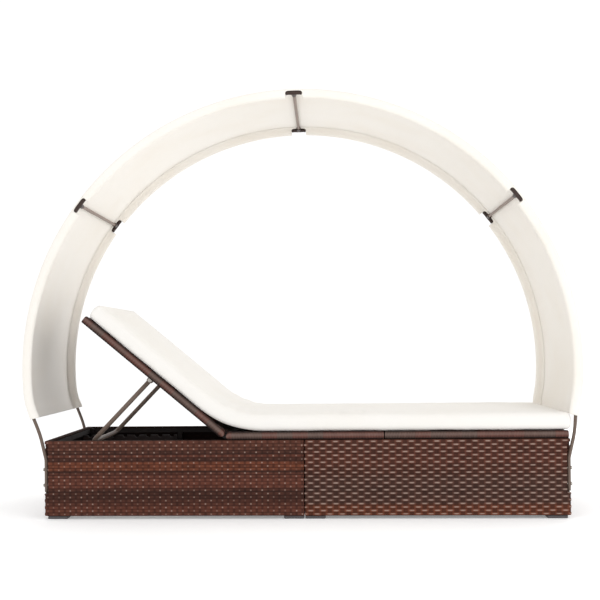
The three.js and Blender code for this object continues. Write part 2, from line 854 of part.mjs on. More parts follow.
function canopyCloth() {
  const hem = leanEnd + bendTangent - hemAboveBend;
  const stations = [];
  for (let i = 0; i <= clothSteps; i++) stations.push(circleEnd * (-1 + (2 * i) / clothSteps));
  const middle = (circleEnd + Math.min(hem, blendEnd)) / 2;
  const all = [-hem, -middle, ...stations, middle, hem];
  const lift = hoopRadius / Math.cos(circleEndTurn / clothSteps) - hoopRadius;
  const points = all.map((s) => {
    const { place, outward } = hoopAt(s, 0);
    return place.addScaledVector(outward, lift);
  });
  const cloth = sweep(clothSection(), points);
  const openings = jointTurns.flatMap((turn) => [sleeveOpening(turn, -1), sleeveOpening(turn, 1)]);
  return cutFrom(cloth, openings);
}

// Mattress

// A cushion length by length: stations hold a place on the underside, the direction that faces up, and
// the shares of width and thickness there. The section is a rounded block with a crown on top.
function cushion(stations) {
  const places = [];
  const corners = [];
  const power = 0.42;
  for (const { place, up, widthShare, heightShare } of stations) {
    const wide = (mattressWidth / 2) * widthShare;
    const mid = mattressThickness / 2;
    for (let i = 0; i < ringSteps; i++) {
      const turn = (2 * Math.PI * (i + 0.5)) / ringSteps;
      const across = Math.sign(Math.cos(turn)) * Math.abs(Math.cos(turn)) ** power;
      const rise = Math.sign(Math.sin(turn)) * Math.abs(Math.sin(turn)) ** power;
      const crown = mattressCrown * Math.max(rise, 0) * (1 - across * across);
      const height = mid + (mid * rise + crown) * heightShare;
      places.push(place.x + up.x * height, wide * across, place.z + up.z * height);
    }
  }
  const rows = stations.length;
  for (let row = 0; row < rows - 1; row++) {
    for (let i = 0; i < ringSteps; i++) {
      const a = row * ringSteps + i;
      const b = row * ringSteps + ((i + 1) % ringSteps);
      corners.push(a, b, b + ringSteps, a, b + ringSteps, a + ringSteps);
    }
  }
  for (const [row, flip] of [[0, true], [rows - 1, false]]) {
    const { place, up } = stations[row];
    const mid = mattressThickness / 2;
    const centre = places.length / 3;
    places.push(place.x + up.x * mid, 0, place.z + up.z * mid);
    for (let i = 0; i < ringSteps; i++) {
      const a = row * ringSteps + i;
      const b = row * ringSteps + ((i + 1) % ringSteps);
      corners.push(...(flip ? [centre, b, a] : [centre, a, b]));
    }
  }
  const geometry = new THREE.BufferGeometry();
  geometry.setAttribute("position", new THREE.Float32BufferAttribute(places, 3));
  geometry.setIndex(corners);
  return solidOf(geometry);
}

// A straight stretch of mattress from x0 to x1 at a height, rounded off at the ends that are free. Its
// sides draw in between its ends.
function straightCushion(x0, x1, z, freeStart, freeEnd, middleCount) {
  const up = new THREE.Vector3(0, 0, 1);
  const roundShares = [[0, 0.62], [0.25, 0.86], [0.6, 0.97]];
  const list = [];
  const add = (x, share) => {
    const along = (x - x0) / (x1 - x0);
    const draw = (mattressDrawIn / mattressWidth) * 2 * Math.sin(Math.PI * along);
    const narrow = 1 - (1 - share) * (mattressEndRound / mattressWidth) * 2;
    const place = new THREE.Vector3(x, 0, z);
    list.push({ place, up, widthShare: narrow - draw, heightShare: share });
  };
  const startX = freeStart ? x0 + mattressEndRound : x0;
  const endX = freeEnd ? x1 - mattressEndRound : x1;
  if (freeStart) roundShares.forEach(([at, share]) => add(x0 + at * mattressEndRound, share));
  for (let i = 0; i <= middleCount; i++) add(startX + ((endX - startX) * i) / middleCount, 1);
  if (freeEnd) {
    [...roundShares].reverse().forEach(([at, share]) => add(x1 - at * mattressEndRound, share));
  }
  return cushion(list);
}

const mattressRestHeight = railCentreHeight + railHalf + fitGap;
const foldCornerX = hingeX + (railHalf + fitGap) * Math.tan(backrestTilt / 2);
const foldTangent = mattressFoldRadius * Math.tan(backrestTilt / 2);
const foldEndX = foldCornerX + foldTangent;
const backCushionStart = foldTangent + (railHalf + fitGap) * Math.tan(backrestTilt / 2);

// The stretch that bends over the hinge, a part of a ring between the seat and the back.
function foldCushion(count) {
  const list = [];
  const margin = fitGap / mattressFoldRadius;
  for (let i = 0; i <= count; i++) {
    const turn = margin + ((backrestTilt - 2 * margin) * i) / count;
    const x = foldEndX - mattressFoldRadius * Math.sin(turn);
    const z = mattressRestHeight + mattressFoldRadius * (1 - Math.cos(turn));
    const place = new THREE.Vector3(x, 0, z);
    const up = new THREE.Vector3(Math.sin(turn), 0, Math.cos(turn));
    list.push({ place, up, widthShare: 1, heightShare: 1 });
  }
  return cushion(list);
}

// Assembly
// The whole daybed stands forward by the sway, so that the canopy's middle is over the origin.

const model = new THREE.Group();
const daybed = new THREE.Group();
model.add(daybed);
daybed.position.x = hoopSway;
const backrest = new THREE.Group();
const prop = new THREE.Group();
daybed.add(backrest);
daybed.add(prop);
backrest.position.set(hingeX, 0, railCentreHeight);
backrest.rotation.y = backrestTilt;
prop.position.set(propPivotX, 0, propPivotZ);
prop.rotation.y = -propSlope;

const finishes = {
  weave: { color: 0x4d2f25, roughness: 0.55, metalness: 0 },
  hoopSteel: { color: 0x6e6058, roughness: 0.5, metalness: 0.3 },
  teeSteel: { color: 0x43362f, roughness: 0.5, metalness: 0.3 },
  frameSteel: { color: 0x2a2422, roughness: 0.6, metalness: 0.3 },
  plainSteel: { color: 0xb9b4ac, roughness: 0.35, metalness: 0.9 },
  footPlastic: { color: 0x8b8a8c, roughness: 0.7, metalness: 0 },
  canvas: { color: 0xf3eee6, roughness: 0.9, metalness: 0 },
  cushionCloth: { color: 0xf6f2e8, roughness: 0.9, metalness: 0 },
};

function place(name, solid, finish, group = daybed) {
  const mesh = new THREE.Mesh(
    geometryOf(solid),
    new THREE.MeshStandardMaterial(finishes[finish]),
  );
  mesh.name = name;
  group.add(mesh);
}

function lifted(solid) {
  return solid.translate([0, 0, railCentreHeight]);
}

const sides = [["near", -1], ["far", 1]];
const ends = [["head", -1], ["foot", 1]];
const rackPostX = -(rackEndX - frameTube / 2);
const headBarX = cornerTubeX - frameTube / 2;

for (const [end, side] of ends) {
  const rackBars = side < 0 ? [headBarX, rackPostX] : [];
  place(`${end}_box_weave`, wovenBox(side), "weave");
  place(`${end}_box_frame`, boxFrame(side, rackPostX, rackBars), "frameSteel");
  const inner = halfLength - boxLength + fitGap;
  const footStarts = { outer: halfLength - footEndInset - footLength, inner };
  for (const [row, x] of Object.entries(footStarts)) {
    const x0 = side > 0 ? x : -x - footLength;
    for (const [name, far] of sides) {
      place(`foot_${end}_${row}_${name}`, footPlate(x0, far), "footPlastic");
    }
  }
}

const seatStartX = hingeX + railTipGap;
const panels = [
  ["mid", seatStartX, seatSplitX - panelGap / 2, hingeSetback - railTipGap],
  ["foot", seatSplitX + panelGap / 2, seatEndX, acrossSetIn],
];
for (const [name, x0, x1, inset] of panels) {
  const deck = [x0 + inset + railSize, x1 - acrossSetIn - railSize];
  const frame = panelFrame(x0, x1, inset, acrossSetIn, evenly(...deck, 2));
  place(`seat_${name}_frame`, lifted(frame), "weave");
  place(`seat_${name}_deck`, lifted(panelDeck(...deck)), "weave");
}

const backInset = hingeSetback - railTipGap;
const backDeck = [-backrestLength + acrossSetIn + railSize, -hingeSetback - railSize];
const backBars = [-propReach, -(propReach + backrestLength) / 2, -(propReach + hingeSetback) / 2];
place(
  "backrest_frame",
  panelFrame(-backrestLength, -railTipGap, acrossSetIn, backInset, backBars),
  "weave",
  backrest,
);
place("backrest_deck", panelDeck(...backDeck), "weave", backrest);

for (const [name, far] of sides) {
  const seatStrap = lifted(hingeStrap(1, ...hingeLayers(far).seat)).translate([hingeX, 0, 0]);
  const pin = lifted(hingePin(far)).translate([hingeX, 0, 0]);
  place(`hinge_seat_strap_${name}`, seatStrap, "frameSteel");
  place(`hinge_pin_${name}`, pin, "plainSteel");
  place(`hinge_back_strap_${name}`, backHingeStrap(far), "frameSteel", backrest);
  place(`prop_bracket_${name}`, propBracket(far), "hoopSteel", backrest);
  place(`prop_bolt_${name}`, propBolt(far), "plainSteel", backrest);
  place(`rack_${name}`, rack(far), "frameSteel");
}
place("prop_frame", propFrame(), "hoopSteel", prop);

const joints = jointTurns.map((turn) => turn * hoopRadius);
const tubeRuns = [
  ["head_leg", -hoopEnd, joints[0] - tubeEndGap / 2],
  ["head_arc", joints[0] + tubeEndGap / 2, joints[1] - tubeEndGap / 2],
  ["foot_arc", joints[1] + tubeEndGap / 2, joints[2] - tubeEndGap / 2],
  ["foot_leg", joints[2] + tubeEndGap / 2, hoopEnd],
];
const jointNames = ["head", "crown", "foot"];
for (const [name, far] of sides) {
  for (const [run, from, to] of tubeRuns) {
    place(`hoop_${name}_${run}`, hoopTube(from, to, far), "hoopSteel");
  }
  jointTurns.forEach((turn, i) => {
    place(`tee_${name}_${jointNames[i]}`, teeFitting(turn, far), "teeSteel");
  });
  for (const [end, side] of ends) {
    legBoltHeights.forEach((z, i) => {
      const level = i === 0 ? "lower" : "upper";
      place(`leg_bolt_${end}_${name}_${level}`, legBolt(side, far, z), "plainSteel");
    });
  }
}
jointTurns.forEach((turn, i) => {
  place(`cross_tube_${jointNames[i]}`, crossTube(turn), "hoopSteel");
});

place("canopy_cloth", canopyCloth(), "canvas");

const seatCushionEnd = seatEndX + mattressFootOverhang;
place(
  "mattress_seat",
  straightCushion(foldEndX, seatCushionEnd, mattressRestHeight, false, true, 8),
  "cushionCloth",
);
place("mattress_fold", foldCushion(6), "cushionCloth");
const headCushionX = -backrestLength + mattressHeadInset;
place(
  "mattress_back",
  straightCushion(headCushionX, -backCushionStart, railHalf + fitGap, true, false, 5),
  "cushionCloth",
  backrest,
);

export default model;
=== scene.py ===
"""Outdoor daybed with a canopy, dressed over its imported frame.

Two woven boxes carry a woven deck, a mattress that bends over the hinge of a propped backrest,
and a cloth canopy sewn over two round hoops. Metres; X runs from the head end to the foot end, Y
from the near side to the far side, Z up. The camera stands where the photograph's camera stood."""

import json
import math

import bpy
import numpy as np
from mathutils import Matrix, Vector


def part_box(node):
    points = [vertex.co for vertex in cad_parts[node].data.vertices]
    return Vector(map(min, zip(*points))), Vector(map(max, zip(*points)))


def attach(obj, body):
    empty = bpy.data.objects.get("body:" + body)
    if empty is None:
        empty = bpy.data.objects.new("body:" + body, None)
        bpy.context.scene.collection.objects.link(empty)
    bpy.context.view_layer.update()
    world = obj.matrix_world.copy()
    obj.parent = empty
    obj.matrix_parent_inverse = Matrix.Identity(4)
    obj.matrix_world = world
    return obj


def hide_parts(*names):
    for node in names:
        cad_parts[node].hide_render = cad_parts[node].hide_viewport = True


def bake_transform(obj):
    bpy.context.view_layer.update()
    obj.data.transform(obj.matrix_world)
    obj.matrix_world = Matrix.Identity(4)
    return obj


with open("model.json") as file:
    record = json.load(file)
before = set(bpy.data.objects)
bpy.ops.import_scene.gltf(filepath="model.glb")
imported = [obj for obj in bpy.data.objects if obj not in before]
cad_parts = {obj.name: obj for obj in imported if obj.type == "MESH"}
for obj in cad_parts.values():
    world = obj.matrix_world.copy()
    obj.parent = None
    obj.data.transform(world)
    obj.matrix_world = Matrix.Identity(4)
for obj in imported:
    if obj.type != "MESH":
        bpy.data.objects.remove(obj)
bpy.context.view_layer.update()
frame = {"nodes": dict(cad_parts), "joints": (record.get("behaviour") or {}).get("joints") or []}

bl_info = {
    "name": "Outdoor Daybed",
    "version": (1, 0, 0),
    "blender": (4, 5, 0),
    "location": "View3D > Sidebar > Daybed",
    "description": "Builds a woven daybed with a canopy over its frame, one piece at a time",
    "category": "Add Mesh",
}

NEAR_FAR = (("near", -1), ("far", 1))
BOX_LOW, BOX_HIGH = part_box("head_box_weave")
FOOT_LOW, FOOT_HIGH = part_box("foot_box_weave")
RAIL_LOW, RAIL_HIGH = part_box("seat_mid_frame")
HALF_WIDTH = BOX_HIGH.y
HINGE, PROP_PIVOT = (
    next(joint["pos_m"] for joint in frame["joints"] if joint["name"] == name)
    for name in ("backrest_tilt", "prop_swing")
)
TILT = math.radians(40)
BACK_LENGTH = 0.704
BACK_TIP_GAP = 0.004
HINGE_INSET = 0.062
SEAT_INSET = 0.002
FIT_GAP = 0.0003
DECK_DROP = 0.005
INSIDE_FROM = 0.30


# Meshes made of patches

def grid_patch(points, uv, closed_u=False, closed_v=False, flip=False, finish=0):
    """A grid of points as quads: cell (i, j) joins points (i, j), (i+1, j), (i+1, j+1), (i, j+1).
    A closed direction joins its last line to its first, and the pattern runs on without a jump."""
    rows, columns = points.shape[:2]
    i, j = np.meshgrid(
        np.arange(rows if closed_u else rows - 1),
        np.arange(columns if closed_v else columns - 1),
        indexing="ij",
    )
    i, j = i.ravel(), j.ravel()
    corners = [(i, j), (i + 1, j), (i + 1, j + 1), (i, j + 1)]
    if flip:
        corners.reverse()
    step_u = uv[-1] + (uv[-1] - uv[-2]) if closed_u else uv[-1]
    wide = np.concatenate([uv, step_u[None]], 0)
    step_v = wide[:, -1] + (wide[:, -1] - wide[:, -2])
    wide = np.concatenate([wide, step_v[:, None]], 1)
    faces = np.stack([(a % rows) * columns + b % columns for a, b in corners], 1)
    loops = np.stack([wide[a, b] for a, b in corners], 1)
    return {
        "points": points.reshape(-1, 3), "faces": faces, "uv": loops,
        "finish": finish, "smooth": True,
    }


def fan_patch(ring, uv_ring, flip=False, finish=0, centre=None):
    """A ring of points closed by triangles to its centre, or to the mean of its points."""
    centre = ring.mean(0) if centre is None else centre
    uv_centre = uv_ring.mean(0)
    count = len(ring)
    i = np.arange(count)
    on = (i + 1) % count
    hub = np.full(count, count)
    order = [i, on, hub] if not flip else [on, i, hub]
    all_uv = np.concatenate([uv_ring, uv_centre[None]], 0)
    return {
        "points": np.concatenate([ring, centre[None]], 0), "faces": np.stack(order, 1),
        "uv": np.stack([all_uv[k] for k in order], 1), "finish": finish, "smooth": False,
    }


def closed_bar(points, uv, flip=False, finish=0):
    """Rings of points as a bar, closed at both ends."""
    return [
        grid_patch(points, uv, closed_v=True, flip=flip, finish=finish),
        fan_patch(points[0], uv[0], flip, finish),
        fan_patch(points[-1], uv[-1], not flip, finish),
    ]


def slab(upper, lower, uv, flip=False):
    """Two grids of points, one over the other, joined by strips along their four edges."""
    patches = [grid_patch(upper, uv, flip=flip), grid_patch(lower, uv, flip=not flip)]
    every = slice(None)
    for a, b, turned_over in (
        (every, 0, False), (every, -1, True), (0, every, True), (-1, every, False),
    ):
        strip = np.stack([upper[a, b], lower[a, b]], 1)
        strip_uv = np.stack([uv[a, b], uv[a, b]], 1)
        patches.append(grid_patch(strip, strip_uv, flip=turned_over == flip))
    return patches


def travelled(line):
    """Distance along a line of points, starting at nought."""
    return np.concatenate([[0], np.cumsum(np.linalg.norm(np.diff(line, axis=0), axis=1))])


def make_piece(name, patches, materials, merge=2e-6):
    """One object from patches. Points of neighbouring patches that lie together are joined."""
    points = np.concatenate([p["points"] for p in patches], 0)
    starts = np.cumsum([0] + [len(p["points"]) for p in patches[:-1]])
    keys = np.round(points / merge).astype(np.int64)
    _, first, back = np.unique(keys, axis=0, return_index=True, return_inverse=True)
    back = back.reshape(-1)
    loops, totals, uvs, finishes, smooths = [], [], [], [], []
    for patch, start in zip(patches, starts):
        faces = back[patch["faces"] + start]
        width = faces.shape[1]
        fine = np.ones(len(faces), bool)
        for k in range(width):
            fine &= faces[:, k] != faces[:, (k + 1) % width]
        thin = ~fine
        for kind, chosen in ((width, fine), (3, thin)):
            picked, uv = faces[chosen], patch["uv"][chosen]
            if kind == 3 and width == 4 and len(picked):
                same = np.stack([picked[:, k] == picked[:, (k + 1) % 4] for k in range(4)], 1)
                single = same.sum(1) == 1
                picked, uv, same = picked[single], uv[single], same[single]
                drop = same.argmax(1)
                keep = (drop[:, None] + np.array([1, 2, 3])[None]) % 4
                picked = np.take_along_axis(picked, keep, 1)
                uv = np.take_along_axis(uv, keep[:, :, None], 1)
            elif kind == 3 and width == 3 and chosen is thin:
                continue
            loops.append(picked.ravel())
            totals.append(np.full(len(picked), picked.shape[1] if len(picked) else kind))
            uvs.append(uv.reshape(-1, 2))
            finishes.append(np.full(len(picked), patch["finish"]))
            smooths.append(np.full(len(picked), patch["smooth"]))
    loops, totals = np.concatenate(loops), np.concatenate(totals).astype(np.int64)
    mesh = bpy.data.meshes.new(name)
    used = np.unique(loops)
    renumber = np.zeros(len(first), np.int64)
    renumber[used] = np.arange(len(used))
    corners = points[first][used]
    mesh.vertices.add(len(corners))
    mesh.vertices.foreach_set("co", corners.astype(np.float32).ravel())
    mesh.loops.add(len(loops))
    mesh.loops.foreach_set("vertex_index", renumber[loops].astype(np.int32))
    mesh.polygons.add(len(totals))
    begin = np.concatenate([[0], np.cumsum(totals)[:-1]]).astype(np.int32)
    mesh.polygons.foreach_set("loop_start", begin)
    mesh.polygons.foreach_set("material_index", np.concatenate(finishes).astype(np.int32))
    mesh.polygons.foreach_set("use_smooth", np.concatenate(smooths).astype(bool))
    layer = mesh.uv_layers.new(name="UVMap")
    layer.data.foreach_set("uv", np.concatenate(uvs).astype(np.float32).ravel())
    mesh.update(calc_edges=True)
    if mesh.validate(verbose=False):
        print("mended mesh of", name)
    for material in materials:
        mesh.materials.append(material)
    piece = bpy.data.objects.new(name, mesh)
    bpy.context.scene.collection.objects.link(piece)
    return piece


def finish_piece(piece, body, slot, *nodes):
    """Hangs a piece on its body and hides the nodes it stands for. Its slot, the name of its
    finish, is not used.
    """
    if body:
        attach(piece, body)
    if nodes:
        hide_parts(*nodes)


# Shapes

def rounded_section(half_wide, half_high, radius, steps):
    """A rounded rectangle for each pair of half sizes: four quarter circles of the radius, whose
    centres stand the radius in from both sides. Gives places (n, m, 2) and outward directions."""
    half_wide, half_high = np.broadcast_arrays(np.atleast_1d(half_wide), np.atleast_1d(half_high))
    turn = np.concatenate([np.linspace(q, q + 1, steps + 1) for q in range(4)]) * math.pi / 2
    out = np.stack([np.cos(turn), np.sin(turn)], 1)
    middle = (np.repeat(np.arange(4), steps + 1) + 0.5) * math.pi / 2
    side = np.sign(np.stack([np.cos(middle), np.sin(middle)], 1))
    bend = np.minimum(radius, np.minimum(half_wide, half_high))[:, None]
    across = side[None, :, 0] * (half_wide[:, None] - bend) + bend * out[None, :, 0]
    up = side[None, :, 1] * (half_high[:, None] - bend) + bend * out[None, :, 1]
    return np.stack([across, up], 2), np.broadcast_to(out[None], across.shape + (2,))


def girth(section):
    """Distance round each section, point by point, starting at nought."""
    steps = np.linalg.norm(np.diff(section, axis=1), axis=2)
    return np.concatenate([np.zeros((len(section), 1)), np.cumsum(steps, 1)], 1)


def strand_bulge(share):
    """A strand seen end on: the height of a half circle, one in the middle."""
    return np.sqrt(np.clip(1 - (2 * share - 1) ** 2, 0, 1))


def smooth_step(value, low, high):
    """Nought below low, one above high, and 3t^2 - 2t^3 between."""
    t = np.clip((value - low) / (high - low), 0, 1)
    return t * t * (3 - 2 * t)


def swept(path, across, up, radii, sides):
    """A round tube: at each station a circle of that radius in the plane of across and up."""
    turn = 2 * math.pi * np.arange(sides) / sides
    rim = radii[:, None, None] * (
        across[:, None] * np.cos(turn)[None, :, None] + up[:, None] * np.sin(turn)[None, :, None]
    )
    uv = np.stack(np.broadcast_arrays(travelled(path)[:, None], (turn * radii.max())[None]), 2)
    return path[:, None] + rim, uv


def closed_tube(path, across, up, radii, sides):
    """A round tube along a path, closed by flat ends."""
    along = np.cross(across[0], up[0])
    ahead = float(np.dot(along, path[1] - path[0])) > 0
    return closed_bar(*swept(path, across, up, radii, sides), flip=ahead)


def turned(profile, centre, axis, sides):
    """A closed profile of (distance along the axis, radius) turned right round the axis."""
    axis = np.asarray(axis, float) / np.linalg.norm(axis)
    side = np.cross(axis, [0, 0, 1.0] if abs(axis[2]) < 0.9 else [1.0, 0, 0])
    side /= np.linalg.norm(side)
    up = np.cross(axis, side)
    profile = np.asarray(profile, float)
    turn = 2 * math.pi * np.arange(sides) / sides
    rim = side[None] * np.cos(turn)[:, None] + up[None] * np.sin(turn)[:, None]
    points = (
        np.asarray(centre)[None, None] + profile[:, None, :1] * axis + profile[:, None, 1:] * rim
    )
    round_it = turn * profile[:, 1].max()
    uv = np.stack(np.broadcast_arrays(travelled(profile)[:, None], round_it[None]), 2)
    area = np.sum(
        profile[:, 0] * np.roll(profile[:, 1], -1) - np.roll(profile[:, 0], -1) * profile[:, 1]
    )
    return grid_patch(points, uv, True, True, flip=area > 0)


def catmull(points, count):
    """A curve through points: a cubic between each pair, its slopes half the step between the
    neighbours, then cut into equal lengths."""
    points = np.asarray(points, float)
    wide = np.concatenate([2 * points[:1] - points[1:2], points, 2 * points[-1:] - points[-2:-1]])
    t = np.linspace(0, 1, 17)[:-1, None]
    runs = []
    for k in range(len(points) - 1):
        a, b, c, d = wide[k:k + 4]
        runs.append(0.5 * (
            2 * b + (c - a) * t + (2 * a - 5 * b + 4 * c - d) * t ** 2
            + (3 * b - a - 3 * c + d) * t ** 3
        ))
    line = np.concatenate(runs + [points[-1:]])
    gone = travelled(line)
    at = np.linspace(0, gone[-1], count)
    return np.stack([np.interp(at, gone, line[:, k]) for k in range(points.shape[1])], 1), gone[-1]


# The hoops' centreline

FOOT_X = 0.9935
FLATTENING = 0.0026
HOOP_RADIUS = 1.053
SWAY = 0.017
SWAY_BELOW, SWAY_ABOVE = 0.3, 0.45
BEND_HEIGHT = 0.227
CENTRE_HEIGHT = BEND_HEIGHT + math.sqrt((HOOP_RADIUS - FLATTENING) ** 2 - FOOT_X ** 2)
LEAN = math.radians(13)
BLEND_RADIUS = 0.35
BEND_RADIUS = 0.06
LEG_BOTTOM = 0.104
HOOP_Y = 0.338
JOINTS = {
    name: math.radians(turn) * HOOP_RADIUS
    for name, turn in (("head", -52.7), ("crown", -0.5), ("foot", 51.8))
}
HEM_ABOVE_BEND = 0.163

ALONG = np.array([math.sin(LEAN), math.cos(LEAN)])
INWARD = np.array([-math.cos(LEAN), math.sin(LEAN)])
BLEND_START = np.array([FOOT_X, BEND_HEIGHT]) + INWARD * BLEND_RADIUS - [0, CENTRE_HEIGHT]
BLEND_HALF = float(BLEND_START @ ALONG)
BLEND_RISE = math.sqrt(
    BLEND_HALF ** 2 - float(BLEND_START @ BLEND_START) + (HOOP_RADIUS - BLEND_RADIUS) ** 2
) - BLEND_HALF
BLEND_CENTRE = BLEND_START + ALONG * BLEND_RISE + [0, CENTRE_HEIGHT]
CIRCLE_TURN = math.atan2(BLEND_CENTRE[0], BLEND_CENTRE[1] - CENTRE_HEIGHT)
LEG_TURN = math.pi / 2 + LEAN
BEND_TANGENT = BEND_RADIUS * math.tan(LEAN / 2)
CIRCLE_END = HOOP_RADIUS * CIRCLE_TURN
BLEND_END = CIRCLE_END + BLEND_RADIUS * (LEG_TURN - CIRCLE_TURN)
LEAN_END = BLEND_END + BLEND_RISE - BEND_TANGENT
BEND_END = LEAN_END + BEND_RADIUS * LEAN
HOOP_END = BEND_END + BEND_HEIGHT - BEND_TANGENT - LEG_BOTTOM
HEM = LEAN_END + BEND_TANGENT - HEM_ABOVE_BEND


def hoop_line(distance):
    """Places and outward directions along a hoop, by the distance from its crown. Each half is an
    arc of the big circle, an arc of the blend circle, a straight leaning leg, an arc that bends it
    upright and a straight foot; above the boxes it sways towards the head by a smooth step."""
    distance = np.asarray(distance, float)
    side = np.where(distance < 0, -1.0, 1.0)
    s = np.abs(distance)
    t1 = s / HOOP_RADIUS
    t2 = CIRCLE_TURN + (s - CIRCLE_END) / BLEND_RADIUS
    t4 = LEG_TURN - (s - LEAN_END) / BEND_RADIUS
    down = BEND_TANGENT + LEAN_END - s
    low = BEND_HEIGHT - BEND_TANGENT
    parts = [s <= CIRCLE_END, s <= BLEND_END, s <= LEAN_END, s <= BEND_END]
    x = np.select(parts, [
        HOOP_RADIUS * np.sin(t1),
        BLEND_CENTRE[0] + BLEND_RADIUS * np.sin(t2),
        FOOT_X + ALONG[0] * down,
        FOOT_X + BEND_RADIUS - BEND_RADIUS * np.sin(t4),
    ], FOOT_X)
    z = np.select(parts, [
        CENTRE_HEIGHT + HOOP_RADIUS * np.cos(t1),
        BLEND_CENTRE[1] + BLEND_RADIUS * np.cos(t2),
        BEND_HEIGHT + ALONG[1] * down,
        low - BEND_RADIUS * np.cos(t4),
    ], low - (s - BEND_END))
    turn = np.select(parts, [t1, t2, np.full_like(s, LEG_TURN), t4], math.pi / 2)
    sway = SWAY - SWAY * smooth_step(z, SWAY_BELOW, SWAY_ABOVE)
    place = np.stack([side * x + sway, np.zeros_like(x), z], -1)
    outward = np.stack([side * np.sin(turn), np.zeros_like(x), np.cos(turn)], -1)
    return place, outward


# Finishes

class Finish:
    """A material whose nodes are added by short calls, each giving the socket that it feeds."""

    def __init__(self, name):
        self.material = bpy.data.materials.new(name)
        self.material.use_nodes = True
        self.tree = self.material.node_tree
        self.shader = self.tree.nodes["Principled BSDF"]

    def node(self, kind, inputs, output=0, **settings):
        made = self.tree.nodes.new(kind)
        for key, value in settings.items():
            setattr(made, key, value)
        for key, value in inputs.items():
            self.feed(made.inputs[key], value)
        return made.outputs[output]

    def sum(self, operation, a, b=0.0, c=0.0):
        return self.node("ShaderNodeMath", {0: a, 1: b, 2: c}, operation=operation)

    def times(self, a, b):
        return self.sum("MULTIPLY", a, b)

    def scale_add(self, a, scale, shift):
        return self.sum("MULTIPLY_ADD", a, scale, shift)

    def feed(self, socket, value):
        """Links a node's output to a socket, or sets the socket to a plain value."""
        if isinstance(value, bpy.types.NodeSocket):
            self.tree.links.new(value, socket)
        else:
            socket.default_value = value

    def uv(self):
        split = self.tree.nodes.new("ShaderNodeSeparateXYZ")
        self.tree.links.new(self.node("ShaderNodeUVMap", {}, uv_map="UVMap"), split.inputs[0])
        return split.outputs[0], split.outputs[1]

    def place(self):
        return self.node("ShaderNodeTexCoord", {}, "Object")

    def vector(self, x, y, z=0.0):
        return self.node("ShaderNodeCombineXYZ", {0: x, 1: y, 2: z})

    def noise(self, vector, scale, detail=3.0, roughness=0.5):
        return self.node(
            "ShaderNodeTexNoise",
            {"Vector": vector, "Scale": scale, "Detail": detail, "Roughness": roughness},
        )

    def random(self, vector):
        return self.node("ShaderNodeTexWhiteNoise", {"Vector": vector}, 0, noise_dimensions="3D")

    def mix(self, share, a, b):
        made = self.tree.nodes.new("ShaderNodeMix")
        made.data_type = "RGBA"
        for key, value in ((0, share), (6, a), (7, b)):
            self.feed(made.inputs[key], value)
        return made.outputs[2]

    def step(self, value, low, high):
        return self.node(
            "ShaderNodeMapRange", {0: value, 1: low, 2: high, 3: 0.0, 4: 1.0},
            interpolation_type="SMOOTHSTEP",
        )

    def ramp(self, value, stops):
        made = self.tree.nodes.new("ShaderNodeValToRGB")
        self.tree.links.new(value, made.inputs[0])
        parts = made.color_ramp.elements
        while len(parts) < len(stops):
            parts.new(1.0)
        for part, (at, colour) in zip(parts, stops):
            part.position, part.color = at, colour
        return made.outputs[0]

    def bump(self, height, distance, strength):
        inputs = {"Height": height, "Distance": distance, "Strength": strength}
        return self.node("ShaderNodeBump", inputs)

    def tint(self, base, mask, strength, colour, share=1.0):
        """The base with a colour laid over it where the mask is high."""
        return self.mix(self.times(mask, strength), base, rgba(colour, share))

    def set(self, colour, roughness, normal=None, **values):
        for key, value in (("Base Color", colour), ("Roughness", roughness), ("Normal", normal)):
            if value is not None:
                self.feed(self.shader.inputs[key], value)
        for key, value in values.items():
            self.shader.inputs[key.replace("_", " ")].default_value = value
        return self.material


def rgba(colour, share=1.0):
    """A colour with its alpha, darkened to a share of its strength."""
    return (*(part * share for part in colour), 1.0)


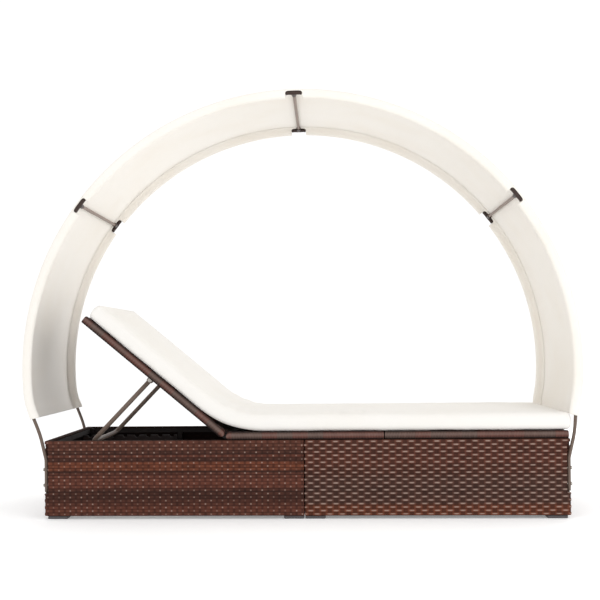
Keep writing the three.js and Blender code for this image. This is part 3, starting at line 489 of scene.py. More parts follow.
def weave_finish(name, row_pitch, stake_pitch, tones, bands, crest, dive, gap, even, top):
    """Flat plastic strands in rows over stakes. A strand is over a stake where the cosine of its
    place is high, so each crest gets a pale dash of painted highlight; rows and single dashes
    differ in tone, and bands up the wall shift the brown to red or olive. Painted shade darkens a
    strand where it passes behind a stake and along the creases between rows, and the inside of the
    box is painted dark as shade and is dull."""
    row_share, band_share, patch_share, streak_share, groove_shade_share = 0.5, 0.62, 0.55, 0.4, 0.85
    rim_from, rim_to, wall_from, wall_to = 0.004, 0.034, 0.44, 0.45
    rim_shade, wall_shade, wall_dull = 0.42, 0.55, 0.9
    f = Finish(name)
    u, v = f.uv()
    row_at = f.sum("DIVIDE", v, row_pitch)
    row = f.sum("FLOOR", row_at)
    inside = f.sum("FRACT", row_at)
    phase = f.sum("ADD", f.sum("DIVIDE", u, 2 * stake_pitch), f.times(row, 0.5))
    over = f.sum("COSINE", f.times(phase, 2 * math.pi))
    dash = f.sum("FLOOR", f.sum("ADD", phase, 0.5))
    one = f.random(f.vector(dash, row, 3.0))
    line = f.random(f.vector(row, 7.0, 1.0))
    hump = f.sum("SUBTRACT", 1.0, f.sum("ABSOLUTE", f.scale_add(inside, 2.0, -1.0)))
    streak = f.noise(f.vector(f.times(u, 40.0), f.times(v, 1100.0), row), 1.0, 3.0)
    base = f.mix(one, rgba(tones[0]), rgba(tones[1]))
    base = f.tint(base, line, row_share, tones[2])
    height = f.sum("DIVIDE", v, top)
    base = f.mix(band_share, base, f.ramp(height, bands))
    patch = f.noise(f.vector(f.times(u, 9.0), f.times(row, 0.9)), 1.0, 2.0)
    base = f.tint(base, f.step(patch, 0.5, 0.75), patch_share, tones[0])
    base = f.tint(base, streak, streak_share, tones[0], 0.35)
    # Painted shade: a strand is darkened where it passes behind a stake.
    back = f.step(over, dive, dive - 0.5)
    base = f.mix(f.times(back, gap), base, rgba(tones[0], 0.3))
    # Painted shade: each row is darkened along its upper and lower edges, in the creases between
    # rows.
    groove = f.step(hump, 0.42, 0.06)
    groove = f.times(groove, f.scale_add(line, -0.5, 0.9))
    base = f.tint(base, groove, groove_shade_share, tones[0], 0.25)
    # Painted highlight: a pale dash on each strand's crest where it crosses over a stake.
    top_of_it = f.times(f.step(over, 1.0 - crest, 1.0), f.step(hump, 0.45, 0.85))
    wear_and_highlight = f.times(top_of_it, f.scale_add(one, 0.60 - even, 0.08 + even))
    base = f.mix(wear_and_highlight, base, rgba(tones[3]))
    # Painted shade: the inner rim and the inner wall are darkened almost to black, as the shade
    # inside the box.
    rim_at = INSIDE_FROM + top
    inner_rim = f.step(v, rim_at + rim_from, rim_at + rim_to)
    inner_wall = f.step(v, wall_from, wall_to)
    dark = f.scale_add(inner_rim, rim_shade, f.times(inner_wall, wall_shade))
    base = f.mix(dark, base, rgba(tones[0], 0.12))
    gloss = f.scale_add(streak, 0.22, 0.34)
    gloss = f.sum("MAXIMUM", gloss, f.times(inner_wall, wall_dull))
    normal = f.bump(streak, 0.0004, 0.6)
    return f.set(base, gloss, normal, Specular_IOR_Level=0.10)


def wrap_finish(name, wrap_pitch, band_length, tones):
    """A rail wound with flat strands: each turn is one strand, and groups of turns share a tone.
    Round the rail, a painted highlight lies along the middle of its outer side, and painted shade
    darkens its top, its bottom and the seams between turns."""
    shine_on, shine_off = (0.033, 0.040), (0.050, 0.043)
    above_on, above_off = (0.020, 0.027), (0.036, 0.030)
    under_on, under_off = (0.048, 0.058), (0.094, 0.086)
    turn_share, streak_share, seam_shade_share, shine_share = 0.30, 0.35, 0.6, 0.55
    above_shade, under_shade, group_shift = 0.7, 0.92, 0.011
    shine_tone = (0.27, 0.20, 0.175)
    f = Finish(name)
    u, v = f.uv()
    turn_at = f.sum("DIVIDE", u, wrap_pitch)
    turn = f.sum("FLOOR", turn_at)
    inside = f.sum("FRACT", turn_at)
    group = f.sum("FLOOR", f.sum("DIVIDE", f.sum("ADD", u, group_shift), band_length))
    one = f.random(f.vector(turn, 2.0, 5.0))
    many = f.random(f.vector(group, 9.0, 4.0))
    streak = f.noise(f.vector(f.times(u, 900.0), f.times(v, 60.0)), 1.0, 3.0)
    base = f.mix(f.step(many, 0.35, 0.65), rgba(tones[0]), rgba(tones[1]))
    base = f.tint(base, one, turn_share, tones[2])
    base = f.tint(base, streak, streak_share, tones[0], 0.4)
    hump = f.sum("ABSOLUTE", f.scale_add(inside, 2.0, -1.0))
    # Painted shade: each turn is darkened at its edges, in the seams between turns.
    base = f.tint(base, f.step(hump, 0.80, 1.0), seam_shade_share, tones[0], 0.25)
    # Painted highlight: a pale streaky band along the middle of the rail's outer side.
    shine = f.times(f.step(v, *shine_on), f.step(v, *shine_off))
    shine = f.times(shine, f.times(streak, shine_share))
    base = f.mix(shine, base, rgba(shine_tone))
    # Painted shade: the rail's top and its bottom are darkened.
    above = f.times(f.step(v, *above_on), f.step(v, *above_off))
    under = f.times(f.step(v, *under_on), f.step(v, *under_off))
    dark = f.scale_add(above, above_shade, f.times(under, under_shade))
    base = f.mix(dark, base, rgba(tones[2], 0.2))
    gloss = f.scale_add(streak, 0.2, 0.36)
    height = f.sum("SUBTRACT", 1.0, f.sum("POWER", hump, 3.0))
    normal = f.bump(f.sum("ADD", height, f.times(streak, 0.25)), 0.0008, 0.7)
    return f.set(base, gloss, normal, Specular_IOR_Level=0.10)


def cloth_finish(name, tint, shade, thread, fold_tint, seams=()):
    """A plain woven cloth: two crossed sets of fine threads as bump, slow cloudy tone, slubs, and
    stitched seams as thin dark lines broken into stitches at the given places across."""
    stitch_pitch, stitch_share = 0.006, 0.35
    line_edge, line_core, groove_edge, groove_core = 0.0016, 0.0006, 0.0045, 0.0008
    slub_share, weave_share = 0.22, 0.05
    f = Finish(name)
    u, v = f.uv()
    warp = f.sum("SINE", f.times(u, 2 * math.pi / thread))
    weft = f.sum("SINE", f.times(v, 2 * math.pi / thread))
    slub = f.noise(f.vector(f.times(u, 90.0), f.times(v, 900.0)), 1.0, 2.0)
    cloud = f.noise(f.place(), 3.2, 4.0, 0.55)
    base = f.mix(f.step(cloud, 0.35, 0.75), rgba(tint), rgba(shade))
    base = f.tint(base, f.step(slub, 0.55, 0.8), slub_share, fold_tint)
    weave = f.scale_add(f.times(warp, weft), 0.5, 0.5)
    base = f.tint(base, weave, weave_share, fold_tint)
    height = f.sum("ADD", weave, f.times(slub, 0.6))
    for seam in seams:
        off = f.sum("ABSOLUTE", f.sum("SUBTRACT", v, seam))
        line = f.step(off, line_edge, line_core)
        stitch = f.step(f.sum("SINE", f.times(u, 2 * math.pi / stitch_pitch)), -0.5, 0.1)
        mark = f.times(line, stitch)
        base = f.tint(base, mark, stitch_share, fold_tint, 0.62)
        groove = f.step(off, groove_edge, groove_core)
        height = f.sum("SUBTRACT", height, f.times(groove, 1.5))
    rough = f.scale_add(slub, 0.12, 0.78)
    normal = f.bump(height, 0.00035, 0.5)
    return f.set(base, rough, normal, Sheen_Weight=0.25, Sheen_Roughness=0.5,
                 Specular_IOR_Level=0.25)


RUBBED = (0.34, 0.30, 0.26)


def paint_finish(name, tint, wear_and_highlight=RUBBED, gloss=0.42):
    """Powder paint on steel: fine orange peel as bump, slow change of tone and rubbed patches."""
    f = Finish(name)
    place = f.place()
    cloud = f.noise(place, 14.0, 4.0, 0.6)
    speck = f.noise(place, 900.0, 2.0)
    rub = f.step(f.noise(place, 55.0, 5.0, 0.7), 0.6, 0.74)
    base = f.mix(f.times(cloud, 0.5), rgba(tint), rgba(tint, 0.72))
    base = f.tint(base, rub, 0.3, wear_and_highlight)
    rough = f.scale_add(cloud, 0.2, gloss - 0.1)
    normal = f.bump(speck, 0.00012, 0.5)
    return f.set(base, rough, normal, Specular_IOR_Level=0.3)


def steel_finish(name, tint):
    """Bare zinc-plated steel with turned rings about Y and a cloudy sheen."""
    f = Finish(name)
    place = f.place()
    cloud = f.noise(place, 120.0, 4.0, 0.6)
    fine = f.noise(f.node("ShaderNodeMapping", {"Vector": place, "Scale": (1, 9, 1)}), 600.0, 2.0)
    base = f.mix(cloud, rgba(tint), rgba(tint, 0.6))
    rough = f.scale_add(fine, 0.25, 0.22)
    return f.set(base, rough, f.bump(fine, 0.00008, 0.4), Metallic=0.9)


def moulded_finish(name, tint):
    """Moulded plastic with a fine leathery grain and a cloudy change of tone."""
    f = Finish(name)
    place = f.place()
    grain = f.node("ShaderNodeTexVoronoi", {"Vector": place, "Scale": 900.0})
    cloud = f.noise(place, 30.0, 4.0)
    base = f.mix(cloud, rgba(tint), rgba(tint, 0.7))
    rough = f.scale_add(cloud, 0.2, 0.5)
    return f.set(base, rough, f.bump(grain, 0.0002, 0.5))


# Sizes and colours that can be changed

def length(name, default, description, low=0.0, high=3.0):
    return bpy.props.FloatProperty(
        name=name, description=description, default=default, min=low, max=high,
        subtype="DISTANCE", unit="LENGTH", precision=4,
    )


def tone(name, default, description):
    return bpy.props.FloatVectorProperty(
        name=name, description=description, default=default, min=0, max=1, size=3,
        subtype="COLOR",
    )


class DaybedWeave(bpy.types.PropertyGroup):
    row_count: bpy.props.IntProperty(
        name="Rows", description="Strands from the bottom of a box wall to its top",
        default=22, min=6, max=40,
    )
    head_pitch: length("Head stake pitch", 0.0217, "Distance between stakes in the head box")
    foot_pitch: length("Foot stake pitch", 0.0240, "Distance between stakes in the foot box")
    weave_relief: length("Relief", 0.0016, "How far a strand stands out over a stake")
    strand_bulge: length("Strand bulge", 0.0014, "How far a strand is domed")
    wall: length("Wall", 0.006, "Thickness of a woven wall")
    rim: length("Rim", 0.028, "Width of the rim over the frame")
    deep: tone("Deep brown", (0.038, 0.0130, 0.0085), "Darkest strands")
    middle: tone("Brown", (0.112, 0.0420, 0.0280), "Most strands")
    red: tone("Red brown", (0.170, 0.0520, 0.0310), "Reddest strands")
    # Crest: the colour of the painted highlight on the top of a strand where it crosses a stake.
    crest: tone("Crest", (0.420, 0.320, 0.270), "Worn top of a strand where it crosses a stake")


class DaybedRails(bpy.types.PropertyGroup):
    size: length("Rail size", 0.030, "Height and width of a rail")
    edge: length("Rail edge", 0.008, "Radius of a rail's edges")
    wrap_pitch: length("Wrap pitch", 0.0105, "Width of one turn of the wound strand")
    wrap_relief: length("Wrap relief", 0.0009, "How far a turn is domed")
    band_length: length("Band length", 0.058, "Length of a group of turns of one tone")
    sheet: length("Deck sheet", 0.006, "Thickness of the woven deck sheet")
    sheet_pitch: length("Deck strand pitch", 0.016, "Distance between strands in the deck sheet")
    reddish: tone("Reddish strands", (0.135, 0.055, 0.043), "Reddish groups of turns")
    greyish: tone("Greyish strands", (0.098, 0.066, 0.055), "Grey-brown groups of turns")
    dark: tone("Dark strands", (0.040, 0.020, 0.016), "Darkest turns")


class DaybedTubes(bpy.types.PropertyGroup):
    hoop: length("Hoop tube", 0.0065, "Radius of the hoop tubes")
    tee: length("Tee fitting", 0.0095, "Radius of the fittings round the hoops")
    cross: length("Cross tube", 0.006, "Radius of the cross tubes")
    prop: length("Prop tube", 0.009, "Radius of the prop's tube")
    paint: tone("Tube paint", (0.150, 0.108, 0.085), "Paint on the hoops, cross tubes and prop")
    fitting: tone("Fitting paint", (0.045, 0.027, 0.021), "Paint on the tee fittings")
    frame_paint: tone("Frame paint", (0.0080, 0.0036, 0.0028), "Paint on the frames and racks")
    steel: tone("Bare steel", (0.55, 0.52, 0.48), "Bolts and pins")
    feet: tone("Feet", (0.095, 0.086, 0.090), "Plastic of the feet")


class DaybedCanopy(bpy.types.PropertyGroup):
    thickness: length("Cloth", 0.0014, "Thickness of the cloth")
    sag: length("Sag", 0.003, "How far the cloth sags between the hoops")
    pucker: length("Pucker", 0.0009, "Height of the gathers beside the sleeves")
    opening: length("Opening", 0.033, "Half length of the openings at the fittings")
    hem: length("Hem", 0.022, "Width of the folded hem")
    tint: tone("Cloth colour", (0.905, 0.872, 0.82), "Colour of the cloth")
    shade: tone("Cloth shade", (0.88, 0.835, 0.765), "Colour of its cloudy patches")


class DaybedMattress(bpy.types.PropertyGroup):
    thickness: length("Thickness", 0.066, "Thickness at the edges")
    crown: length("Crown", 0.010, "How far the top stands up in the middle")
    width: length("Width", 0.690, "Width of the mattress")
    edge: length("Edge", 0.017, "Radius of its long edges")
    piping: length("Piping", 0.0024, "Radius of the piping round top and bottom")
    wrinkle: length("Wrinkle", 0.0016, "Depth of the wrinkles")
    fold_radius: length("Fold radius", 0.400, "Radius of its underside over the hinge")
    tint: tone("Cover colour", (0.875, 0.855, 0.82), "Colour of the cover")
    shade: tone("Cover shade", (0.86, 0.835, 0.79), "Colour of its cloudy patches")


class DaybedStage(bpy.types.PropertyGroup):
    floor: tone("Floor", (0.90, 0.90, 0.90), "Colour of the floor")
    sky: bpy.props.FloatProperty(
        name="Studio light", description="Strength of the even light all round",
        default=0.9, min=0, max=4,
    )
    backdrop: bpy.props.FloatProperty(
        name="Backdrop", description="Brightness of the backdrop behind the daybed",
        default=1.06, min=0, max=8,
    )
    key: bpy.props.FloatProperty(
        name="Key light", description="Power of the big soft light", default=22.0, min=0, max=2000,
        unit="POWER",
    )


# Woven boxes

def ring_plan(low, high, inset, radius, counts, corner_steps):
    """A rounded rectangle seen from above, anticlockwise from the middle of the corner at low x and
    low y: the same count of points whatever the inset, so insets can be joined point to point."""
    (x0, y0), (x1, y1) = low, high
    x0, y0, x1, y1 = x0 + inset, y0 + inset, x1 - inset, y1 - inset
    bends = [max(one - inset, 0.0015) for one in radius]
    centres = [(x + sx * bend, y + sy * bend) for bend, (x, sx), (y, sy) in zip(
        bends, ((x0, 1), (x1, -1), (x1, -1), (x0, 1)), ((y0, 1), (y0, 1), (y1, -1), (y1, -1)))]
    runs, outs = [], []
    for k in range(4):
        start = math.pi + k * math.pi / 2
        turn = start + np.linspace(0, 1, corner_steps + 1) * math.pi / 2
        out = np.stack([np.cos(turn), np.sin(turn)], 1)
        here = np.array(centres[k]) + bends[k] * out
        after = np.array(centres[(k + 1) % 4]) + bends[(k + 1) % 4] * out[-1]
        count = counts[k % 2]
        t = np.linspace(0, 1, count + 1)[1:-1, None]
        runs += [here, here[-1] + (after - here[-1]) * t]
        outs += [out, np.broadcast_to(out[-1], (count - 1, 2))]
    return np.concatenate(runs), np.concatenate(outs)


RECESS_DEPTH, RECESS_WIDTH = 0.016, 0.024
RECESS_LOW, RECESS_HIGH = 0.097, 0.288


def recessed_plan(plan, corner, inset):
    """The same plan with a recess at one outer corner: points that lie inside the recess slide
    along the two sides of its inner corner, evenly spread."""
    cx, cy = corner
    sx, sy = np.sign(cx - plan[:, 0].mean()), np.sign(cy)
    lined_x = cx - sx * (RECESS_DEPTH + inset)
    lined_y = cy - sy * (RECESS_WIDTH + inset)
    from_x = (plan[:, 0] - lined_x) * sx
    from_y = (plan[:, 1] - lined_y) * sy
    held = (from_x > 1e-6) & (from_y > 1e-6)
    moved = plan.copy()
    index = np.nonzero(held)[0]
    if not len(index):
        return moved
    if index[-1] - index[0] > len(plan) / 2:
        jump = np.nonzero(np.diff(index) > 1)[0][0]
        index = np.concatenate([index[jump + 1:], index[:jump + 1]])
    first, last = plan[index[0]], plan[index[-1]]
    if abs(first[0] - lined_x) < abs(first[1] - lined_y):
        bent = np.array([(lined_x, first[1]), (lined_x, lined_y), (last[0], lined_y)])
    else:
        bent = np.array([(first[0], lined_y), (lined_x, lined_y), (lined_x, last[1])])
    at = travelled(bent)
    gone = np.linspace(0, at[-1], len(index))
    moved[index] = np.stack([np.interp(gone, at, bent[:, k]) for k in (0, 1)], 1)
    return moved


def woven_box(name, low, high, outer_x, props, pitch, material):
    """A woven box as one closed shell swept round its plan: up the outer wall, over the rim, down
    the inner wall and back under the lower rim. Outside, a strand stands out by
    relief * cos(pi u / pitch + pi row) over the stakes plus a domed bulge up the row."""
    seam_reach, seam_corner, outer_corner = 0.0018, 0.003, 0.012
    edge, step, row_steps = 0.004, 0.006, 5
    stake_half, stake_drop, stake_relief = 0.007, 0.0009, 0.0012
    recess_sink, recess_relief, top_relief = 0.0004, 0.3, 0.2
    wall, rim, rows = props.wall, props.rim, props.row_count
    (x0, y0, bottom), (x1, y1, top) = low, high
    if outer_x < 0:
        x1 += seam_reach
        radii = (outer_corner, seam_corner, seam_corner, outer_corner)
    else:
        x0 -= seam_reach
        radii = (seam_corner, outer_corner, outer_corner, seam_corner)
    counts = [max(8, int(round((x1 - x0) / step))), max(8, int(round((y1 - y0) / step)))]
    outline, out = ring_plan((x0, y0), (x1, y1), 0.0, radii, counts, 4)
    gone = np.linalg.norm(np.roll(outline, -1, 0) - outline, axis=1)
    along = np.concatenate([[0], np.cumsum(gone)[:-1]])
    real_pitch = gone.sum() / (2 * round(gone.sum() / (2 * pitch)))
    row_pitch = (top - bottom) / rows

    def plan_at(inset, recessed):
        plan, _ = ring_plan((x0, y0), (x1, y1), inset, radii, counts, 4)
        if recessed:
            for _, far in NEAR_FAR:
                plan = recessed_plan(plan, (outer_x, HALF_WIDTH * far), inset)
        return plan

    heights = np.arange(rows * row_steps + 1) / row_steps * row_pitch + bottom
    cuts = (RECESS_LOW, RECESS_HIGH)
    rising = [
        (z, RECESS_LOW < z < RECESS_HIGH) for z in heights
        if bottom + edge <= z <= top - edge and min(abs(z - cut) for cut in cuts) > 1e-3
    ]
    rising += [(cut, recessed) for cut in cuts for recessed in (False, True)]
    rising.sort(key=lambda row: (row[0], row[1] if row[0] < RECESS_HIGH else not row[1]))
    quarters = [math.radians(turn) for turn in (30, 60, 90)]
    stations = [(0.0, z, recessed, True) for z, recessed in rising]
    stations += [
        (edge * (1 - math.cos(a)), top - edge * (1 - math.sin(a)), False, True) for a in quarters
    ]
    lip, inner_lip = 0.002, 0.001
    stations += [(inset, z, recessed, False) for inset, z, recessed in (
        (rim * 0.3, top, False), (rim * 0.7, top, False), (rim - lip, top, False),
        (rim, top - lip, False), (rim, top - wall + inner_lip, False),
        (rim - inner_lip, top - wall, False), (wall, top - wall, False), (wall, top - wall, True),
        (wall, RECESS_LOW - wall, True), (wall, RECESS_LOW - wall, False),
        (wall, bottom + wall, False), (rim - inner_lip, bottom + wall, False),
        (rim, bottom + wall - inner_lip, False), (rim, bottom + lip, False),
        (rim - lip, bottom, False), (edge, bottom, False),
    )]
    stations += [
        (edge * (1 - math.sin(a)), bottom + edge * (1 - math.cos(a)), False, True)
        for a in quarters[:2]
    ]

    plans = {}
    points = np.zeros((len(stations), len(outline), 3))
    uv = np.zeros((len(stations), len(outline), 2))
    travel = 0.0
    for k, (inset, z, recessed, woven) in enumerate(stations):
        key = (round(inset, 5), recessed)
        if key not in plans:
            plans[key] = plan_at(inset, recessed)
        flat = plans[key]
        moved = np.linalg.norm(flat - outline, axis=1) > inset * 1.5 + 0.003
        lift = np.zeros(len(outline))
        if woven:
            row_at = (z - bottom) / row_pitch
            row = math.floor(row_at + 1e-6)
            over = np.cos(math.pi * along / real_pitch + math.pi * row)
            dome = float(strand_bulge(np.array(row_at - row)))
            lift = props.weave_relief * (over - 0.4) + props.strand_bulge * (dome - 0.9)
            stake_at = np.abs((along / real_pitch + 0.5) % 1 - 0.5) * real_pitch
            stake_dome = strand_bulge(np.clip(stake_at / stake_half, 0, 0.5) + 0.5)
            lift = np.maximum(lift, stake_relief * (stake_dome - 1) - stake_drop)
            fade = smooth_step(np.array(top - z), 0.0, edge) * (1 - top_relief) + top_relief
            lift = np.where(moved, recess_relief * lift - recess_sink, lift * fade)
        points[k, :, :2] = flat + out * lift[:, None] * (~moved)[:, None]
        points[k, :, 2] = z
        if k:
            last = stations[k - 1]
            travel += math.hypot(inset - last[0], z - last[1])
        uv[k, :, 0] = along
        uv[k, :, 1] = (z - bottom) if woven else INSIDE_FROM + travel
    patch = grid_patch(points.transpose(1, 0, 2), uv.transpose(1, 0, 2), True, True)
    return make_piece(name, [patch], [material(row_pitch, real_pitch)])


class DAYBED_OT_woven_boxes(bpy.types.Operator):
    """Builds the two woven boxes: shells of strands over stakes with a rim and two recesses each"""

    bl_idname = "daybed.woven_boxes"
    bl_label = "Woven boxes"

    def execute(self, context):
        p = context.scene.daybed_weave
        tones = (p.deep, p.middle, p.red, p.crest)
        brown, dark, red, rust, olive = (rgba(shade) for shade in (
            (0.125, 0.047, 0.031), (0.045, 0.019, 0.014), (0.215, 0.064, 0.031),
            (0.155, 0.050, 0.032), (0.098, 0.052, 0.040),
        ))
        head_bands = [
            (0.0, brown), (0.10, rust), (0.22, dark), (0.33, dark), (0.38, rust), (0.55, rust),
            (0.585, dark), (0.62, red), (0.70, red), (0.73, dark), (0.76, dark), (0.79, rust),
            (0.83, dark), (0.88, brown), (1.0, brown),
        ]
        foot_bands = [
            (0.0, red), (0.13, red), (0.17, olive), (0.48, olive), (0.55, brown), (0.8, rust),
            (1.0, brown),
        ]
        rise = BOX_HIGH.z - BOX_LOW.z
        # Per box: the reach of the painted highlight, where the painted shade behind the stakes
        # starts, that shade's strength and the highlight's evenness.
        head_crest, foot_crest = (0.14, -0.55, 0.45, 0.0), (1.15, -0.2, 0.5, 0.52)
        for end, low, high, outer, pitch, bands, crest in (
            ("head", BOX_LOW, BOX_HIGH, BOX_LOW.x, p.head_pitch, head_bands, head_crest),
            ("foot", FOOT_LOW, FOOT_HIGH, FOOT_HIGH.x, p.foot_pitch, foot_bands, foot_crest),
        ):
            def material(row_pitch, real_pitch, end=end, bands=bands, crest=crest):
                return weave_finish(
                    f"{end}_weave", row_pitch, real_pitch, tones, bands, *crest, rise
                )
            name = f"{end}_woven_box"
            piece = woven_box(name, tuple(low), tuple(high), outer, p, pitch, material)
            finish_piece(piece, "base", "weave", f"{end}_box_weave")
        return {"FINISHED"}


# Deck panels

def to_backrest(points):
    """Points given flat about the hinge, turned up by the rest tilt and set on the hinge."""
    x = HINGE[0] + points[..., 0] * math.cos(TILT) + points[..., 2] * math.sin(TILT)
    z = HINGE[2] - points[..., 0] * math.sin(TILT) + points[..., 2] * math.cos(TILT)
    return np.stack([x, points[..., 1], z], -1)


def blend_ends(reach):
    """The two points between which a bending piece goes over from the seat to the backrest."""
    lean = np.array([-math.cos(TILT / 2), 0, math.sin(TILT / 2)]) * reach
    return tuple(np.array(HINGE) - lean), tuple(np.array(HINGE) + lean)


def to_seat(points):
    """Points given about the rails' own height, set at that height."""
    return points + [0, 0, HINGE[2]]


def wound_bar(start, end, centre_other, axis, props, place, round_ends=None, shift=0.0, sink=0.0):
    """A bar wound with strands: a rounded square swept along the bar, each turn domed by a half
    circle. A round end narrows in height along a quarter circle."""
    half = props.size / 2
    step = props.wrap_pitch / 4
    reach = end - start
    s = np.linspace(0, reach, max(8, int(round(reach / step))) + 1)
    high = half
    if round_ends:
        first, last = round_ends
        nose = 1 - np.cos(np.linspace(0.16, 1, 7) * math.pi / 2)
        s = np.concatenate([
            first * nose, s[(s > first) & (s < reach - last)], reach - last * nose[::-1]])
        high = np.full_like(s, half)
        for off, bend in ((s, first), (reach - s, last)):
            short = bend - np.minimum(off, bend)
            high = high - bend + np.sqrt(np.maximum(bend ** 2 - short ** 2, 1e-10))
    section, out = rounded_section(np.full_like(s, half), high - sink, props.edge, 3)
    dome = props.wrap_relief * (strand_bulge((s / props.wrap_pitch) % 1) - 1)
    if round_ends:
        dome *= smooth_step(s, 0.0, first) * smooth_step(reach - s, 0.0, last)
    section = section + out * dome[:, None, None]
    around = girth(section)
    along = np.broadcast_to((start + s)[:, None], around.shape)
    across = centre_other + section[..., 0]
    run = [along, across] if axis == "x" else [across, along]
    points = np.stack([*run, section[..., 1]], -1)
    return closed_bar(place(points), np.stack([along + shift, around], -1), flip=axis == "x")


def flat_bar(x, top, place, finish):
    """A flat steel bar across a panel: a small rounded rectangle swept from side to side."""
    half_length, half_wide, half_high, edge = 0.334, 0.010, 0.007, 0.0015
    y = np.linspace(-half_length, half_length, 9)
    section, _ = rounded_section(np.full_like(y, half_wide), np.full_like(y, half_high), edge, 2)
    along = np.broadcast_to(y[:, None], section.shape[:2])
    points = np.stack([x + section[..., 0], along, top - half_high + section[..., 1]], -1)
    return closed_bar(place(points), np.stack([along, girth(section)], -1), finish=finish)


def panels():
    """Each deck panel: name, nodes, body, ends, insets of its cross rails, its flat bars and the
    function that sets it in place."""
    prop_share = 0.5256
    prop_at = BACK_LENGTH * prop_share
    rail = RAIL_HIGH.z - RAIL_LOW.z
    rows = []
    for name, near_inset in (("mid", HINGE_INSET), ("foot", SEAT_INSET)):
        start, end = (corner.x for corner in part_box(f"seat_{name}_frame"))
        bars = np.linspace(start + near_inset + rail, end - SEAT_INSET - rail, 4)[1:-1]
        rows.append((name, f"seat_{name}_frame", f"seat_{name}_deck", "base", start, end,
                     near_inset, SEAT_INSET, bars, to_seat))
    bars = [-prop_at, -(prop_at + BACK_LENGTH) / 2, -(prop_at + HINGE_INSET + BACK_TIP_GAP) / 2]
    rows.append(("back", "backrest_frame", "backrest_deck", "backrest", -BACK_LENGTH, -BACK_TIP_GAP,
                 SEAT_INSET, HINGE_INSET, bars, to_backrest))
    return rows


class DAYBED_OT_deck_rails(bpy.types.Operator):
    """Builds the wound rails of the three deck panels, with the flat steel bars under the deck"""

    bl_idname = "daybed.deck_rails"
    bl_label = "Deck rails"

    def execute(self, context):
        p, tubes = context.scene.daybed_rails, context.scene.daybed_tubes
        tones = (p.reddish, p.greyish, p.dark)
        wound = wrap_finish("wound_rail", p.wrap_pitch, p.band_length, tones)
        steel = paint_finish("bar_paint", tubes.frame_paint, (0.05, 0.035, 0.03))
        half, cross_half, cross_sink = p.size / 2, 0.335, 0.00025
        blunt, side_shift, cross_shift = 0.003, 0.1, 0.3
        bar_top = half - DECK_DROP - p.sheet - FIT_GAP
        for name, frame_node, _, body, x0, x1, in0, in1, bars, place in panels():
            patches = []
            noses = [half if inset == HINGE_INSET else blunt for inset in (in0, in1)]
            for _, far in NEAR_FAR:
                patches += wound_bar(
                    x0, x1, (HALF_WIDTH - half) * far, "x", p, place, noses, side_shift * far
                )
            for x in (x0 + in0 + half, x1 - in1 - half):
                patches += wound_bar(
                    -cross_half, cross_half, x, "y", p, place, None, cross_shift, cross_sink
                )
            for x in bars:
                patches += flat_bar(x, bar_top, place, 1)
            piece = make_piece(f"{name}_panel_rails", patches, [wound, steel])
            finish_piece(piece, body, "weave", frame_node)
        return {"FINISHED"}


def woven_sheet(x0, x1, y0, y1, top, thick, pitch, place):
    """A plain weave both sides: strands along X and strands along Y pass over each other by turns,
    where cos(pi x / pitch) * cos(pi y / pitch) changes sign, and the upper one is domed."""
    core, wave, dome = 0.1 * thick, 0.16 * thick, 0.24 * thick
    step = pitch / 4
    nx, ny = int(round((x1 - x0) / step)), int(round((y1 - y0) / step))
    x, y = np.meshgrid(np.linspace(x0, x1, nx + 1), np.linspace(y0, y1, ny + 1), indexing="ij")
    cross = np.cos(math.pi * (x - x0) / pitch) * np.cos(math.pi * (y - y0) / pitch)
    lengthwise = strand_bulge(((y - y0) / pitch + 0.5) % 1)
    crosswise = strand_bulge(((x - x0) / pitch + 0.5) % 1)
    over = np.where(cross > 0, lengthwise, crosswise)
    lift = wave * np.abs(cross) + dome * over
    edge = np.minimum(np.minimum(x - x0, x1 - x), np.minimum(y - y0, y1 - y))
    lift = lift * smooth_step(edge, 0.0, pitch / 2)
    middle = top - thick / 2
    upper = np.stack([x, y, middle + core + lift], -1)
    lower = np.stack([x, y, middle - core - lift], -1)
    return slab(place(upper), place(lower), np.stack([x, y], -1))


def sheet_finish(name, props):
    """Crossed flat strands: the cell's parity says which set is on top; each strand has a tone, and
    painted shade darkens the gaps between the strands.
    """
    pitch = props.sheet_pitch
    f = Finish(name)
    u, v = f.uv()
    a = f.sum("COSINE", f.times(u, math.pi / pitch))
    b = f.sum("COSINE", f.times(v, math.pi / pitch))
    cross = f.times(a, b)
    long_one = f.random(f.vector(f.sum("FLOOR", f.sum("DIVIDE", v, pitch)), 3.0, 1.0))
    wide_one = f.random(f.vector(f.sum("FLOOR", f.sum("DIVIDE", u, pitch)), 8.0, 2.0))
    which = f.step(cross, -0.1, 0.1)
    one, two = (
        f.mix(share, rgba(props.reddish), rgba(props.greyish)) for share in (long_one, wide_one)
    )
    base = f.mix(which, two, one)
    # Painted shade: darker where the strands pass each other, in the gaps between them.
    gap = f.step(f.sum("ABSOLUTE", cross), 0.35, 0.05)
    base = f.tint(base, gap, 0.8, props.dark, 0.3)
    streak = f.noise(f.vector(f.times(u, 300.0), f.times(v, 300.0)), 1.0, 3.0)
    rough = f.scale_add(streak, 0.2, 0.4)
    return f.set(base, rough, f.bump(streak, 0.0003, 0.5))


class DAYBED_OT_deck_sheets(bpy.types.Operator):
    """Builds the woven sheets that the mattress lies on, one in each deck panel"""

    bl_idname = "daybed.deck_sheets"
    bl_label = "Deck sheets"

    def execute(self, context):
        p = context.scene.daybed_rails
        woven = sheet_finish("deck_weave", p)
        gap, half_wide = 0.0004, 0.3194
        for name, _, node, body, x0, x1, in0, in1, _, place in panels():
            patches = woven_sheet(
                x0 + in0 + p.size + gap, x1 - in1 - p.size - gap, -half_wide, half_wide,
                p.size / 2 - DECK_DROP, p.sheet, p.sheet_pitch, place,
            )
            piece = make_piece(f"{name}_deck_sheet", patches, [woven])
            finish_piece(piece, body, "weave", node)
        return {"FINISHED"}


